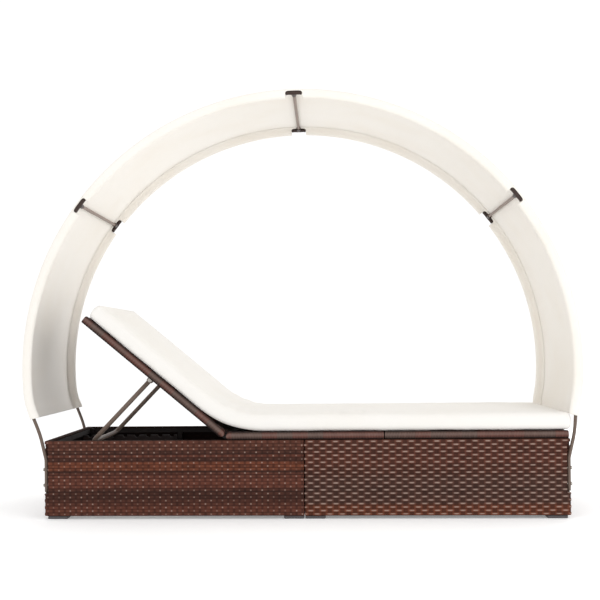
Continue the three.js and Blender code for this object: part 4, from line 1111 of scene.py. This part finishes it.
class DAYBED_OT_hinge_shade_band(bpy.types.Operator):
    """Builds the dark woven band that bridges the hinge from the seat's end rail to the backrest's:
    a sheet put in the gap under the mattress to stand in for the shade there
    """

    bl_idname = "daybed.hinge_band"
    bl_label = "Hinge band"

    def execute(self, context):
        p = context.scene.daybed_rails
        half_wide, run, blend_reach = 0.302, 0.125, 0.055
        ply, relief = 0.0005, 0.0004
        seat = RAIL_LOW.x + HINGE_INSET
        back = to_backrest(np.array([[-0.050, 0, 0.0115], [-0.0655, 0, 0.010]]))
        front = [
            (seat + 0.0005, HINGE[2] + 0.0095), (seat - 0.016, HINGE[2] + 0.0105),
            (HINGE[0] + 0.012, HINGE[2] + 0.0115),
        ]
        step = p.sheet_pitch / 4
        count = int(round(run / step))
        curve, reach = catmull(np.concatenate([front, back[:, [0, 2]]]), count)
        ahead = np.gradient(curve, axis=0)
        ahead /= np.linalg.norm(ahead, axis=1)[:, None]
        up = np.stack([-ahead[:, 1], ahead[:, 0]], 1)
        up *= np.sign(up[:, 1:])
        y = np.linspace(-half_wide, half_wide, int(round(2 * half_wide / step)) + 1)
        s, across = np.meshgrid(np.linspace(0, reach, count), y, indexing="ij")
        cross = np.cos(math.pi * s / p.sheet_pitch) * np.cos(math.pi * across / p.sheet_pitch)
        lift = ply + relief * np.abs(cross)

        def side(sign):
            flat = curve[:, None] + sign * up[:, None] * lift[..., None]
            return np.stack([flat[..., 0], across, flat[..., 1]], -1)

        patches = slab(side(1), side(-1), np.stack([s, across], -1), flip=True)
        # Painted shade: the band is a dark sheet that stands in for the shade in the gap under the
        # mattress.
        piece = make_piece("hinge_band", patches, [sheet_finish("band_weave", p)])
        finish_piece(piece, None, "weave")
        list(blend_ends(blend_reach))
        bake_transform(piece)
        return {"FINISHED"}


# Hoops and their fittings

def hoop_frames(distances, y):
    """Places, crosswise and outward directions of a hoop at a side of the daybed."""
    place, outward = hoop_line(distances)
    place = place + [0, y, 0]
    across = np.broadcast_to([0.0, 1.0, 0.0], place.shape).copy()
    return place, across, outward


def hoop_run(start, end):
    """Distances from start to end, close together where the line bends sharply."""
    count = max(6, int(abs(end - start) / 0.02))
    s = np.linspace(start, end, count + 1)
    near_bend = np.linspace(LEAN_END, BEND_END, 7)
    extra = np.concatenate([near_bend, -near_bend])
    extra = extra[(extra > start) & (extra < end)]
    return np.unique(np.round(np.concatenate([s, extra]), 6))


class DAYBED_OT_hoop_tubes(bpy.types.Operator):
    """Builds the eight lengths of round tube that make the two hoops"""

    bl_idname = "daybed.hoop_tubes"
    bl_label = "Hoop tubes"

    def execute(self, context):
        p = context.scene.daybed_tubes
        paint = paint_finish("hoop_paint", p.paint, (0.30, 0.24, 0.20))
        gap, end_chamfer = 0.0005, 0.0007
        head, crown, foot = JOINTS.values()
        runs = [
            ("head_leg", -HOOP_END, head - gap), ("head_arc", head + gap, crown - gap),
            ("foot_arc", crown + gap, foot - gap), ("foot_leg", foot + gap, HOOP_END),
        ]
        for side, far in NEAR_FAR:
            for run, start, end in runs:
                path, across, outward = hoop_frames(hoop_run(start, end), HOOP_Y * far)
                radii = np.full(len(path), p.hoop)
                radii[[0, -1]] -= end_chamfer
                tube = closed_tube(path, across, outward, radii, 20)
                piece = make_piece(f"hoop_tube_{side}_{run}", tube, [paint])
                finish_piece(piece, "base", "tube_steel", f"hoop_{side}_{run}")
        return {"FINISHED"}


class DAYBED_OT_tee_fittings(bpy.types.Operator):
    """Builds the six dark tee fittings: a sleeve on the hoop, a collared stub for a cross tube"""

    bl_idname = "daybed.tee_fittings"
    bl_label = "Tee fittings"

    def execute(self, context):
        p = context.scene.daybed_tubes
        paint = paint_finish("fitting_paint", p.fitting, (0.13, 0.085, 0.065), 0.38)
        half, r, bore, sides = 0.030, p.tee, 0.0071, 28
        waist = r - 0.0006
        ridge_end = [(half - 0.0048, waist), (half - 0.004, r), (half - 0.0008, r),
                     (half, r - 0.0008), (half, r - 0.0022)]
        rising = [(0.010, r), (0.012, waist)] + ridge_end
        outer = [(-x, radius) for x, radius in reversed(rising)] + rising
        profile = np.array(outer + [(half, bore), (0.0, bore), (-half, bore)])
        stub = [(0.0072, 0.0063), (0.0072, r - 0.0004), (0.013, r), (0.016, 0.0092),
                (0.034, 0.0088), (0.035, 0.0092), (0.0385, 0.0092), (0.0395, 0.0086),
                (0.0395, 0.0063)]
        for joint, middle in JOINTS.items():
            for side, far in NEAR_FAR:
                path, across, outward = hoop_frames(middle + profile[:, 0], HOOP_Y * far)
                points, uv = swept(path, across, outward, profile[:, 1], sides)
                centre, _ = hoop_line(middle)
                patches = [
                    grid_patch(points, uv, True, True, flip=True),
                    turned(stub, centre + [0, HOOP_Y * far, 0], (0, -far, 0), sides),
                ]
                piece = make_piece(f"tee_fitting_{side}_{joint}", patches, [paint])
                finish_piece(piece, "base", "fitting_steel", f"tee_{side}_{joint}")
        return {"FINISHED"}


class DAYBED_OT_cross_tubes(bpy.types.Operator):
    """Builds the three round tubes that hold the hoops apart"""

    bl_idname = "daybed.cross_tubes"
    bl_label = "Cross tubes"

    def execute(self, context):
        p = context.scene.daybed_tubes
        half_length, stations, sides = 0.330, 13, 24
        # Painted light: the cross tubes get the tube paint made half as light again, a lit copy of
        # the hoops' paint.
        paint = paint_finish("cross_paint", rgba(p.paint, 1.5)[:3])
        for joint, middle in JOINTS.items():
            centre, _ = hoop_line(middle)
            y = np.linspace(-half_length, half_length, stations)
            path = np.stack([np.full_like(y, centre[0]), y, np.full_like(y, centre[2])], 1)
            across = np.broadcast_to([1.0, 0, 0], path.shape)
            up = np.broadcast_to([0, 0, 1.0], path.shape)
            tube = closed_tube(path, across, up, np.full(stations, p.cross), sides)
            piece = make_piece(f"cross_bar_{joint}", tube, [paint])
            finish_piece(piece, "base", "tube_steel", f"cross_tube_{joint}")
        return {"FINISHED"}


# Prop

class DAYBED_OT_prop(bpy.types.Operator):
    """Builds the bent tube that props the backrest, with a round eye at each end"""

    bl_idname = "daybed.prop"
    bl_label = "Prop"

    def execute(self, context):
        p = context.scene.daybed_tubes
        # Painted light: the prop gets the tube paint made a quarter lighter, a lit copy of the
        # hoops' paint.
        paint = paint_finish("prop_paint", rgba(p.paint, 1.25)[:3])
        reach, wide, bend = 0.33598, 0.220, 0.036
        foot_height, sides = 0.286, 24
        pressed, press_from, press_to, round_from = 0.72, -0.006, -0.0215, -0.031
        eye_half, eye_bore, eye_radius = 0.007, 0.0056, 0.013
        slope = math.asin((PROP_PIVOT[2] - foot_height) / reach)
        turn = np.linspace(0, 1, 9) * math.pi / 2
        curve = [
            np.stack([-reach + bend - bend * np.sin(turn), -wide + bend - bend * np.cos(turn)], 1),
            np.stack([-reach + bend - bend * np.cos(turn), wide - bend + bend * np.sin(turn)], 1),
        ]
        along = np.append([press_from, press_to], np.linspace(round_from, bend - reach, 15)[:-1])
        leg = np.stack([along, np.full(len(along), -wide)], 1)
        bar = np.stack([np.full(17, -reach), np.linspace(-wide + bend, wide - bend, 19)[1:-1]], 1)
        flat = np.concatenate([leg, curve[0], bar, curve[1], leg[::-1] * [1, -1]])
        ahead = np.gradient(flat, axis=0)
        ahead /= np.linalg.norm(ahead, axis=1)[:, None]
        level = np.zeros(len(flat))
        path = np.stack([flat[:, 0], flat[:, 1], level], 1)
        across = np.stack([-ahead[:, 1], ahead[:, 0], level], 1)
        across[[0, 1, -2, -1]] *= pressed
        up = np.broadcast_to([0, 0, 1.0], across.shape)
        points, uv = swept(path, across, up, np.full(len(flat), p.prop), sides)
        x = PROP_PIVOT[0] + points[..., 0] * math.cos(slope) - points[..., 2] * math.sin(slope)
        z = PROP_PIVOT[2] + points[..., 0] * math.sin(slope) + points[..., 2] * math.cos(slope)
        patches = closed_bar(np.stack([x, points[..., 1], z], -1), uv, flip=True)
        corner = [(eye_half - 0.0018, eye_radius), (eye_half - 0.0006, eye_radius - 0.0006),
                  (eye_half, eye_radius - 0.0018), (eye_half, eye_bore)]
        eye = [(-x, radius) for x, radius in reversed(corner)] + corner
        for _, far in NEAR_FAR:
            centre = (PROP_PIVOT[0], wide * far, PROP_PIVOT[2])
            patches.append(turned(eye, centre, (0, 1, 0), 32))
        piece = make_piece("prop_tube", patches, [paint])
        finish_piece(piece, "prop", "tube_steel", "prop_frame")
        return {"FINISHED"}


# Canopy

SHEET_LIFT = 0.0118
SLEEVE_BOTTOM = -0.0228


def sleeve_outline():
    """The sleeve in section as (outward from the middle of the daybed, up from the hoop), from the
    seam under the sheet, down and round the tube, and up over it to the sheet."""
    return np.array([
        (-19, 9.6), (-15.5, 8.0), (-12.8, 3), (-12, -6), (-10.3, -15), (-6, -21), (0, -22.8),
        (6, -21), (10.3, -15), (12, -6), (11.7, 2), (9.3, 8.4), (4.6, 11.2), (-1, 11.8),
    ]) / 1000


def canopy_stations(opening):
    """Distances along the hoops, close together at the openings and hems, and how far each lies
    from the nearest fitting as a share of an opening's half length."""
    step, hem_step, beside = 0.012, 0.004, 0.003
    joints = list(JOINTS.values())
    arch = np.sin(np.linspace(-1, 1, 25) * math.pi / 2) * opening
    arch = np.concatenate([arch, [-opening - beside, opening + beside]])
    hems = [-HEM, -HEM + hem_step, HEM - hem_step, HEM]
    s = np.concatenate(
        [np.arange(-HEM + 0.02, HEM - 0.02, step), hems] + [arch + joint for joint in joints]
    )
    for joint in joints:
        keep = np.abs(s - joint) > opening + beside - 0.0005
        close = np.min(np.abs((s - joint)[:, None] - arch[None]), axis=1) < 1e-9
        s = s[keep | close]
    s = np.unique(np.round(s, 7))
    return s, np.min([np.abs(s - joint) / opening for joint in joints], axis=0)


def canopy_rise(p, s, offset, spread, half):
    """How far the sheet stands outward from the hoops' line: it sags between the hoops by
    sag (1 - spread^2), with slow swells, gathers beside the sleeves and a dip at each seam."""
    seam_in, seam_wide, gather_reach, gather_pitch = 0.018, 0.0022, 0.028, 0.041
    swell, gather_share, seam_dip = 0.0008, 0.7, 0.0005
    rng = np.random.default_rng(11)
    waves = [
        (rng.uniform(4, 11), rng.uniform(0, 6.28), rng.uniform(0.2, 1.0)) for _ in range(5)
    ]
    slow = sum(a * np.sin(w * s[:, None] + ph + 1.7 * spread[None]) for w, ph, a in waves) / 5
    from_hoop = (1 - np.abs(spread)) * half
    side = np.sign(spread)[None]
    gathers = np.sin(s[:, None] * 2 * math.pi / gather_pitch + 1.3 * side)
    gathers = gathers * (0.5 + 0.5 * np.sin(s[:, None] * 9.0 + 2.0 * side))
    dip = np.exp(-((from_hoop - seam_in) / seam_wide) ** 2)[None]
    quiet = smooth_step(offset, 1.0, 2.2)[:, None]
    end = smooth_step(HEM - np.abs(s), 0.0, 0.05)[:, None]
    up = SHEET_LIFT - p.sag * (1 - spread ** 2)[None]
    up = up + swell * slow * (1 - np.abs(spread))[None] * end
    gathers = gathers * np.exp(-from_hoop / gather_reach)[None] * quiet * (1 - dip)
    return up + p.pucker * gather_share * gathers - seam_dip * dip


class DAYBED_OT_canopy(bpy.types.Operator):
    """Builds the canopy: one sheet of cloth whose two edges are folded into sleeves round the
    hoops, with arched openings in the sleeves where the fittings stand"""

    bl_idname = "daybed.canopy"
    bl_label = "Canopy"

    def execute(self, context):
        p = context.scene.daybed_canopy
        inner_rows, outer_rows, sheet_rows, outline_points = 15, 17, 64, 161
        half = HOOP_Y - 0.001
        s, offset = canopy_stations(p.opening)
        curve, round_length = catmull(sleeve_outline(), outline_points)
        up_at = curve[:, 1]
        bottom = int(np.argmin(up_at))
        share = np.linspace(0, 1, outline_points)
        bottom_share = share[bottom]

        inside = offset < 1 - 1e-6
        opening_height = 0.0272
        arched = np.clip(1 - offset ** 6, 0, 1) ** (1 / 6)
        cut_up = np.where(inside, SLEEVE_BOTTOM + opening_height * arched, SLEEVE_BOTTOM)

        def cut_share(part):
            """Where round the sleeve each station's cloth starts: at the opening's edge, or at the
            sleeve's bottom, where the inner and outer parts meet."""
            return np.where(inside, np.interp(cut_up, up_at[part], share[part]), bottom_share)

        def sleeve(t):
            return np.stack([np.interp(t, share, curve[:, k]) for k in (0, 1)], -1)

        inner_cut = cut_share(slice(bottom, None, -1))[:, None]
        outer_cut = cut_share(slice(bottom, None))[:, None]
        inner_t = np.linspace(0, 1, inner_rows)[None] * inner_cut
        outer_t = outer_cut + np.linspace(0, 1, outer_rows)[None] * (1 - outer_cut)
        spread = np.linspace(1, -1, sheet_rows + 1)[1:-1]
        spread = np.sign(spread) * (1 - (1 - np.abs(spread)) ** 1.25)
        up = canopy_rise(p, s, offset, spread, half)

        fold_step, fold_thickness = 0.0015, 0.0007
        thicker = fold_thickness * smooth_step(np.abs(s), HEM - p.hem - fold_step, HEM - p.hem)
        flare = 1 + 0.05 * smooth_step(np.abs(s), HEM - 0.05, HEM)
        place, outward = hoop_line(s)

        def spatial(section, far):
            rise = section[..., 1]
            lifted = rise + thicker[:, None] * np.sign(rise)
            point = place[:, None] + outward[:, None] * lifted[..., None]
            point[..., 1] = (HOOP_Y + section[..., 0] * flare[:, None]) * far
            return point

        near_in, far_in = (spatial(sleeve(inner_t), far) for far in (-1, 1))
        near_out, far_out = (spatial(sleeve(outer_t), far) for far in (-1, 1))
        middle = place[:, None] + outward[:, None] * (up + thicker[:, None])[..., None]
        middle[..., 1] = -half * spread[None]
        whole = np.concatenate([near_out, middle, far_out[:, ::-1]], 1)
        across_out = round_length * (outer_t - bottom_share)
        across_in = round_length * (inner_t - bottom_share)
        wide = round_length * (1 - bottom_share)
        full = 2 * (wide + half)
        span = wide + half * (1 - spread)[None] + np.zeros((len(s), 1))
        v = np.concatenate([across_out, span, full - across_out[:, ::-1]], 1)
        u = np.broadcast_to(s[:, None], v.shape)
        u_in = u[:, :inner_rows]
        patches = [
            grid_patch(whole, np.stack([u, v], -1)),
            grid_patch(near_in, np.stack([u_in, across_in], -1)),
            grid_patch(far_in[:, ::-1], np.stack([u_in, (full - across_in)[:, ::-1]], -1)),
        ]
        seam_in, fold_line = 0.018, 0.0045
        seam = wide + seam_in
        seams = (seam, full - seam, wide - fold_line, full - wide + fold_line)
        cloth = cloth_finish(
            "canopy_canvas", p.tint, p.shade, 0.0011, (0.70, 0.66, 0.60), seams
        )
        piece = make_piece("canopy_sheet", patches, [cloth])
        solid = piece.modifiers.new("cloth_thickness", "SOLIDIFY")
        solid.thickness, solid.offset = p.thickness, 0.0
        finish_piece(piece, "base", "canvas", "canopy_cloth")
        return {"FINISHED"}


# Mattress

MATTRESS_REST = RAIL_HIGH.z + FIT_GAP
ABOVE_HINGE = (MATTRESS_REST - HINGE[2]) * math.tan(TILT / 2)


def mattress_line(d, seat_length, fold_radius):
    """The underside's line from the foot end: straight along the seat, an arc over the hinge, then
    straight up the backrest. Gives places and the directions that face up from it."""
    start = HINGE[0] + ABOVE_HINGE + fold_radius * math.tan(TILT / 2) + seat_length
    turn = np.clip((d - seat_length) / fold_radius, 0, TILT)
    beyond = np.maximum(d - seat_length - fold_radius * TILT, 0)
    on_seat = np.minimum(d, seat_length)
    x = start - on_seat - fold_radius * np.sin(turn) - beyond * math.cos(TILT)
    z = MATTRESS_REST + fold_radius * (1 - np.cos(turn)) + beyond * math.sin(TILT)
    zero = np.zeros_like(x)
    return np.stack([x, zero, z], -1), np.stack([np.sin(turn), zero, np.cos(turn)], -1)


def round_off(distance, radius):
    """A quarter circle: nought at the end, one from the radius on."""
    return np.sqrt(np.clip(1 - (1 - np.clip(distance / radius, 0, 1)) ** 2, 0, 1))


def mattress_ripples(d, y, total, fold_middle):
    """Short wrinkles at random places, each a wave under a bell, and a set of them in the fold."""
    rng = np.random.default_rng(5)
    ripple = np.zeros_like(y)
    for _ in range(26):
        wave = rng.uniform(18, 70)
        slant = rng.uniform(-0.7, 0.7)
        centre = rng.uniform(0.05, total - 0.05)
        side = rng.uniform(-0.3, 0.3)
        size = rng.uniform(0.05, 0.16)
        near = np.exp(-((d - centre) / size) ** 2 - ((y - side) / (size * 1.1)) ** 2)
        ripple += near * np.sin(wave * (d + slant * y) + rng.uniform(0, 6.28))
    fold_near = np.exp(-((d - fold_middle) / 0.11) ** 2)
    return ripple + 1.5 * fold_near * np.sin(95 * d + 5 * np.sin(6 * y))


def mattress_puckers(x, y):
    """Short creases in the seat's top by its near edge: a narrow bell along, a wider one across."""
    side, along, across = 0.27, 0.006, 0.055
    pucker = np.zeros_like(y)
    for at, deep in ((0.115, 0.002), (0.155, 0.0035), (0.172, 0.002), (0.238, 0.003)):
        off = at - x + 0.1 * (y + side)
        pucker += deep * np.exp(-(off / along) ** 2 - ((y + side) / across) ** 2)
    return pucker


class DAYBED_OT_mattress(bpy.types.Operator):
    """Builds the mattress: one boxed cushion with a crowned top and piped edges that bends over the
    hinge and follows the backrest"""

    bl_idname = "daybed.mattress"
    bl_label = "Mattress"

    def execute(self, context):
        p = context.scene.daybed_mattress
        rows, ring, nose_rows, nose_reach, blend_reach = 264, 176, 13, 0.06, 0.125
        foot_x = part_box("mattress_seat")[1].x
        tangent = p.fold_radius * math.tan(TILT / 2) + ABOVE_HINGE
        seat_length = foot_x - HINGE[0] - tangent
        back_length = BACK_LENGTH - BACK_TIP_GAP - tangent
        total = seat_length + p.fold_radius * TILT + back_length
        nose = np.linspace(0, 1, nose_rows + 1)[:-1] * math.pi / 2
        nose = nose_reach * (1 - np.cos(nose))
        lengthwise = np.linspace(nose_reach, total - nose_reach, rows - 2 * nose_rows)
        d = np.concatenate([nose, lengthwise, total - nose[::-1]])
        place, up = mattress_line(d, seat_length, p.fold_radius)

        draw_in, corner, mid = 0.004, 0.013, p.thickness / 2
        end_off = np.minimum(d, total - d)
        half_wide = p.width / 2 - draw_in * np.sin(np.pi * d / total) ** 2
        half_wide -= corner * (1 - round_off(end_off, corner))
        half_high = np.maximum(mid * (0.30 + 0.70 * round_off(end_off, p.edge)), 0.002)
        section, out = rounded_section(half_wide, half_high, p.edge, 10)
        corners, outs = (np.concatenate([part, part[:, :1]], 1) for part in (section, out))
        around = girth(corners)
        whole = around[:, -1:]
        even = np.linspace(0, 1, ring + 1)[:-1]

        def evenly(values):
            """Values at the section's points as values at equal steps round it."""
            return np.stack([
                np.interp(even, around[k] / whole[k], values[k]) for k in range(len(d))
            ])

        y, h = evenly(corners[..., 0]), evenly(corners[..., 1])
        out_y, out_h = evenly(outs[..., 0]), evenly(outs[..., 1])
        d, end_off = d[:, None], end_off[:, None]
        half_wide, half_high = half_wide[:, None], half_high[:, None]
        crown_from, dip, dip_at, dip_reach = 0.16, 0.35, 0.14, 0.13
        puff, under_wave, edge_share, top_wrinkle = 0.0035, 0.0012, 0.5, 0.55
        top_share = smooth_step(h / half_high, 0.2, 1.0)
        crown = p.crown * top_share * (1 - np.abs(y / half_wide) ** 2.6)
        crown = crown * smooth_step(end_off, 0.0, crown_from)
        crown = crown * (1 - dip * np.exp(-((d - seat_length - dip_at) / dip_reach) ** 2))
        ripple = mattress_ripples(d, y, total, seat_length + p.fold_radius * TILT * 0.5)
        side_share = np.abs(out_y) ** 2
        edge_wave = np.sin(17 * d) * 0.5 + np.sin(41 * d + 1) * 0.3
        wrinkle = ripple * top_wrinkle * top_share + edge_share * side_share * edge_wave
        wrinkle = p.wrinkle * wrinkle * smooth_step(end_off, 0.0, 0.04)
        side_puff = puff * side_share * np.clip(1 - (h / half_high) ** 2, 0, 1)
        pipe = np.zeros_like(y)
        for sign in (-1, 1):
            off = np.abs(h - sign * (half_high - p.edge * 0.30))
            bead = np.sqrt(np.clip(1 - (off / p.piping) ** 2, 0, 1))
            groove = np.exp(-((off - p.piping * 1.6) / 0.0018) ** 2)
            pipe += (p.piping * 0.55 * bead - 0.0006 * groove) * (np.abs(out_y) > 0.05)
        lift = crown + wrinkle - mattress_puckers(foot_x - d, y) * top_share
        y2 = y + out_y * (side_puff + pipe + wrinkle * 0.5)
        under = np.clip(-out_h, 0, 1) ** 2
        h2 = h + out_h * pipe + lift * np.clip(out_h, 0, 1) ** 0.5
        h2 = np.maximum(h2 + under_wave * under * (edge_wave + 1), FIT_GAP * 2 / 3 - mid)
        points = place[:, None] + up[:, None] * (mid + h2)[..., None]
        points[..., 1] = y2
        uv = np.stack([np.broadcast_to(d, y.shape), even[None] * whole], -1)
        patches = [grid_patch(points, uv, closed_v=True, flip=True)]
        for k, flip in ((0, True), (-1, False)):
            centre = place[k] + up[k] * mid
            inner = centre + (points[k] - centre) * 0.5
            uv_pair = np.stack([uv[k], uv[k] * [1, 0.5]])
            pair = np.stack([points[k], inner])
            patches.append(grid_patch(pair, uv_pair, closed_v=True, flip=not flip))
            patches.append(fan_patch(inner, uv_pair[1], flip, centre=centre))
        cover = cloth_finish("mattress_cover", p.tint, p.shade, 0.0012, (0.74, 0.71, 0.66))
        piece = make_piece("mattress_pad", patches, [cover])
        finish_piece(
            piece, None, "cushion_cloth", "mattress_seat", "mattress_fold", "mattress_back"
        )
        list(blend_ends(blend_reach))
        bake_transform(piece)
        return {"FINISHED"}


# Finishes of the pieces that keep their own shape

class DAYBED_OT_metal_finishes(bpy.types.Operator):
    """Paints the frames, racks, hinges, bolts and feet, which keep the shape they have"""

    bl_idname = "daybed.metal_finishes"
    bl_label = "Frames, racks, bolts and feet"

    def execute(self, context):
        p = context.scene.daybed_tubes
        frame_paint = paint_finish("frame_paint", p.frame_paint, (0.03, 0.018, 0.014), 0.6)
        dark = rgba(p.frame_paint, 1.6)[:3]
        strap_paint = paint_finish("strap_paint", dark, (0.05, 0.04, 0.035), 0.45)
        bracket = paint_finish("bracket_paint", p.paint)
        steel = steel_finish("bolt_steel", p.steel)
        feet = moulded_finish("foot_plastic", p.feet)
        kinds = (
            (frame_paint, ("head_box_frame", "foot_box_frame")),
            (strap_paint, ("rack_", "hinge_back_strap", "hinge_seat_strap", "hinge_pin")),
            (steel, ("prop_bolt", "leg_bolt")), (bracket, ("prop_bracket",)),
            (feet, ("foot_head", "foot_foot")),
        )
        for name, node in frame["nodes"].items():
            for material, starts in kinds:
                if name.startswith(starts):
                    if not node.material_slots:
                        node.data.materials.append(material)
                    for slot in node.material_slots:
                        slot.material = material
        return {"FINISHED"}


# Stage

CAMERA_PLACE = (0.1104, -4.1614, 0.660)
CAMERA_YAW, CAMERA_ROLL = math.radians(2.78), math.radians(-0.58)
CAMERA_LENS, CAMERA_SHIFT = 60.34, (0.0352, 0.0753)
LIGHTS = (
    ("key", (-1.6, -3.6, 3.6), (0.0, 0.0, 0.5), 2.6, 1.0),
    ("fill", (2.8, -3.2, 2.0), (0.2, 0.0, 0.4), 2.4, 1.4),
    ("inside", (2.6, 3.6, 1.3), (-1.0, 0.0, 0.8), 2.0, 1.5),
)


class DAYBED_OT_stage(bpy.types.Operator):
    """Sets the pale floor, the soft studio light and the camera"""

    bl_idname = "daybed.stage"
    bl_label = "Stage"

    def execute(self, context):
        p = context.scene.daybed_stage
        reach, below = 14.0, 0.0004
        line = np.linspace(-reach, reach, 9)
        x, y = np.meshgrid(line, line, indexing="ij")
        flat = np.stack([x, y, np.full_like(x, -below)], -1)
        f = Finish("floor_paper")
        cloud = f.noise(f.place(), 0.8, 2.0)
        colour = f.mix(cloud, rgba(p.floor), rgba(p.floor, 0.985))
        f.set(colour, 0.9, Specular_IOR_Level=0.1, Emission_Strength=0.25,
              Emission_Color=(1.0, 1.0, 1.0, 1.0))
        floor = make_piece("floor", [grid_patch(flat, np.stack([x, y], -1))], [f.material])

        context.scene.view_settings.view_transform = "Standard"
        world = bpy.data.worlds.new("studio")
        context.scene.world = world
        world.use_nodes = True
        back = world.node_tree.nodes["Background"]
        back.inputs[0].default_value = (1.0, 1.0, 1.0, 1.0)
        seen = world.node_tree.nodes.new("ShaderNodeLightPath").outputs["Is Camera Ray"]
        blend = world.node_tree.nodes.new("ShaderNodeMapRange")
        blend.inputs[3].default_value, blend.inputs[4].default_value = p.sky, p.backdrop
        world.node_tree.links.new(seen, blend.inputs[0])
        world.node_tree.links.new(blend.outputs[0], back.inputs[1])

        for name, place, target, size, share in LIGHTS:
            data = bpy.data.lights.new(name, "AREA")
            data.shape, data.size, data.energy = "DISK", size, p.key * share
            lamp = bpy.data.objects.new(name, data)
            lamp.location = place
            look = Vector(target) - Vector(place)
            lamp.rotation_euler = look.to_track_quat("-Z", "Y").to_euler()
            context.scene.collection.objects.link(lamp)

        data = bpy.data.cameras.new("camera")
        data.sensor_width, data.lens, data.clip_end = 36.0, CAMERA_LENS, 60.0
        data.shift_x, data.shift_y = CAMERA_SHIFT
        camera = bpy.data.objects.new("camera", data)
        camera.location = CAMERA_PLACE
        look = Vector((-math.sin(CAMERA_YAW), math.cos(CAMERA_YAW), 0.0))
        turn = look.to_track_quat("-Z", "Y").to_matrix()
        camera.rotation_euler = (turn @ Matrix.Rotation(CAMERA_ROLL, 3, "Z")).to_euler()
        context.scene.collection.objects.link(camera)
        context.scene.camera = camera
        return {"FINISHED"}


class DAYBED_PT_sidebar(bpy.types.Panel):
    """Lists the daybed's pieces in the 3D view's sidebar"""

    bl_idname = "DAYBED_PT_sidebar"
    bl_label = "Outdoor daybed"
    bl_space_type = "VIEW_3D"
    bl_region_type = "UI"
    bl_category = "Daybed"

    def draw(self, context):
        scene = context.scene
        for title, group in SETTINGS:
            box = self.layout.box()
            box.label(text=title)
            settings = getattr(scene, group)
            for name in settings.__annotations__:
                box.prop(settings, name)
        for operator in PIECES:
            self.layout.operator(operator.bl_idname)


SETTINGS = (
    ("Weave", "daybed_weave"), ("Rails and decks", "daybed_rails"), ("Tubes", "daybed_tubes"),
    ("Canopy", "daybed_canopy"), ("Mattress", "daybed_mattress"), ("Stage", "daybed_stage"),
)
GROUPS = (
    DaybedWeave, DaybedRails, DaybedTubes, DaybedCanopy, DaybedMattress, DaybedStage,
)
PIECES = (
    DAYBED_OT_stage, DAYBED_OT_woven_boxes, DAYBED_OT_deck_rails, DAYBED_OT_deck_sheets,
    DAYBED_OT_hinge_shade_band, DAYBED_OT_hoop_tubes, DAYBED_OT_tee_fittings, DAYBED_OT_cross_tubes,
    DAYBED_OT_prop, DAYBED_OT_canopy, DAYBED_OT_mattress, DAYBED_OT_metal_finishes,
)


def register():
    for group, (_, name) in zip(GROUPS, SETTINGS):
        bpy.utils.register_class(group)
        setattr(bpy.types.Scene, name, bpy.props.PointerProperty(type=group))
    for operator in PIECES:
        bpy.utils.register_class(operator)
    bpy.utils.register_class(DAYBED_PT_sidebar)


def unregister():
    bpy.utils.unregister_class(DAYBED_PT_sidebar)
    for operator in reversed(PIECES):
        bpy.utils.unregister_class(operator)
    for group, (_, name) in zip(GROUPS, SETTINGS):
        delattr(bpy.types.Scene, name)
        bpy.utils.unregister_class(group)


def main():
    register()
    for operator in PIECES:
        family, name = operator.bl_idname.split(".")
        getattr(getattr(bpy.ops, family), name)()


if __name__ == "__main__":
    main()
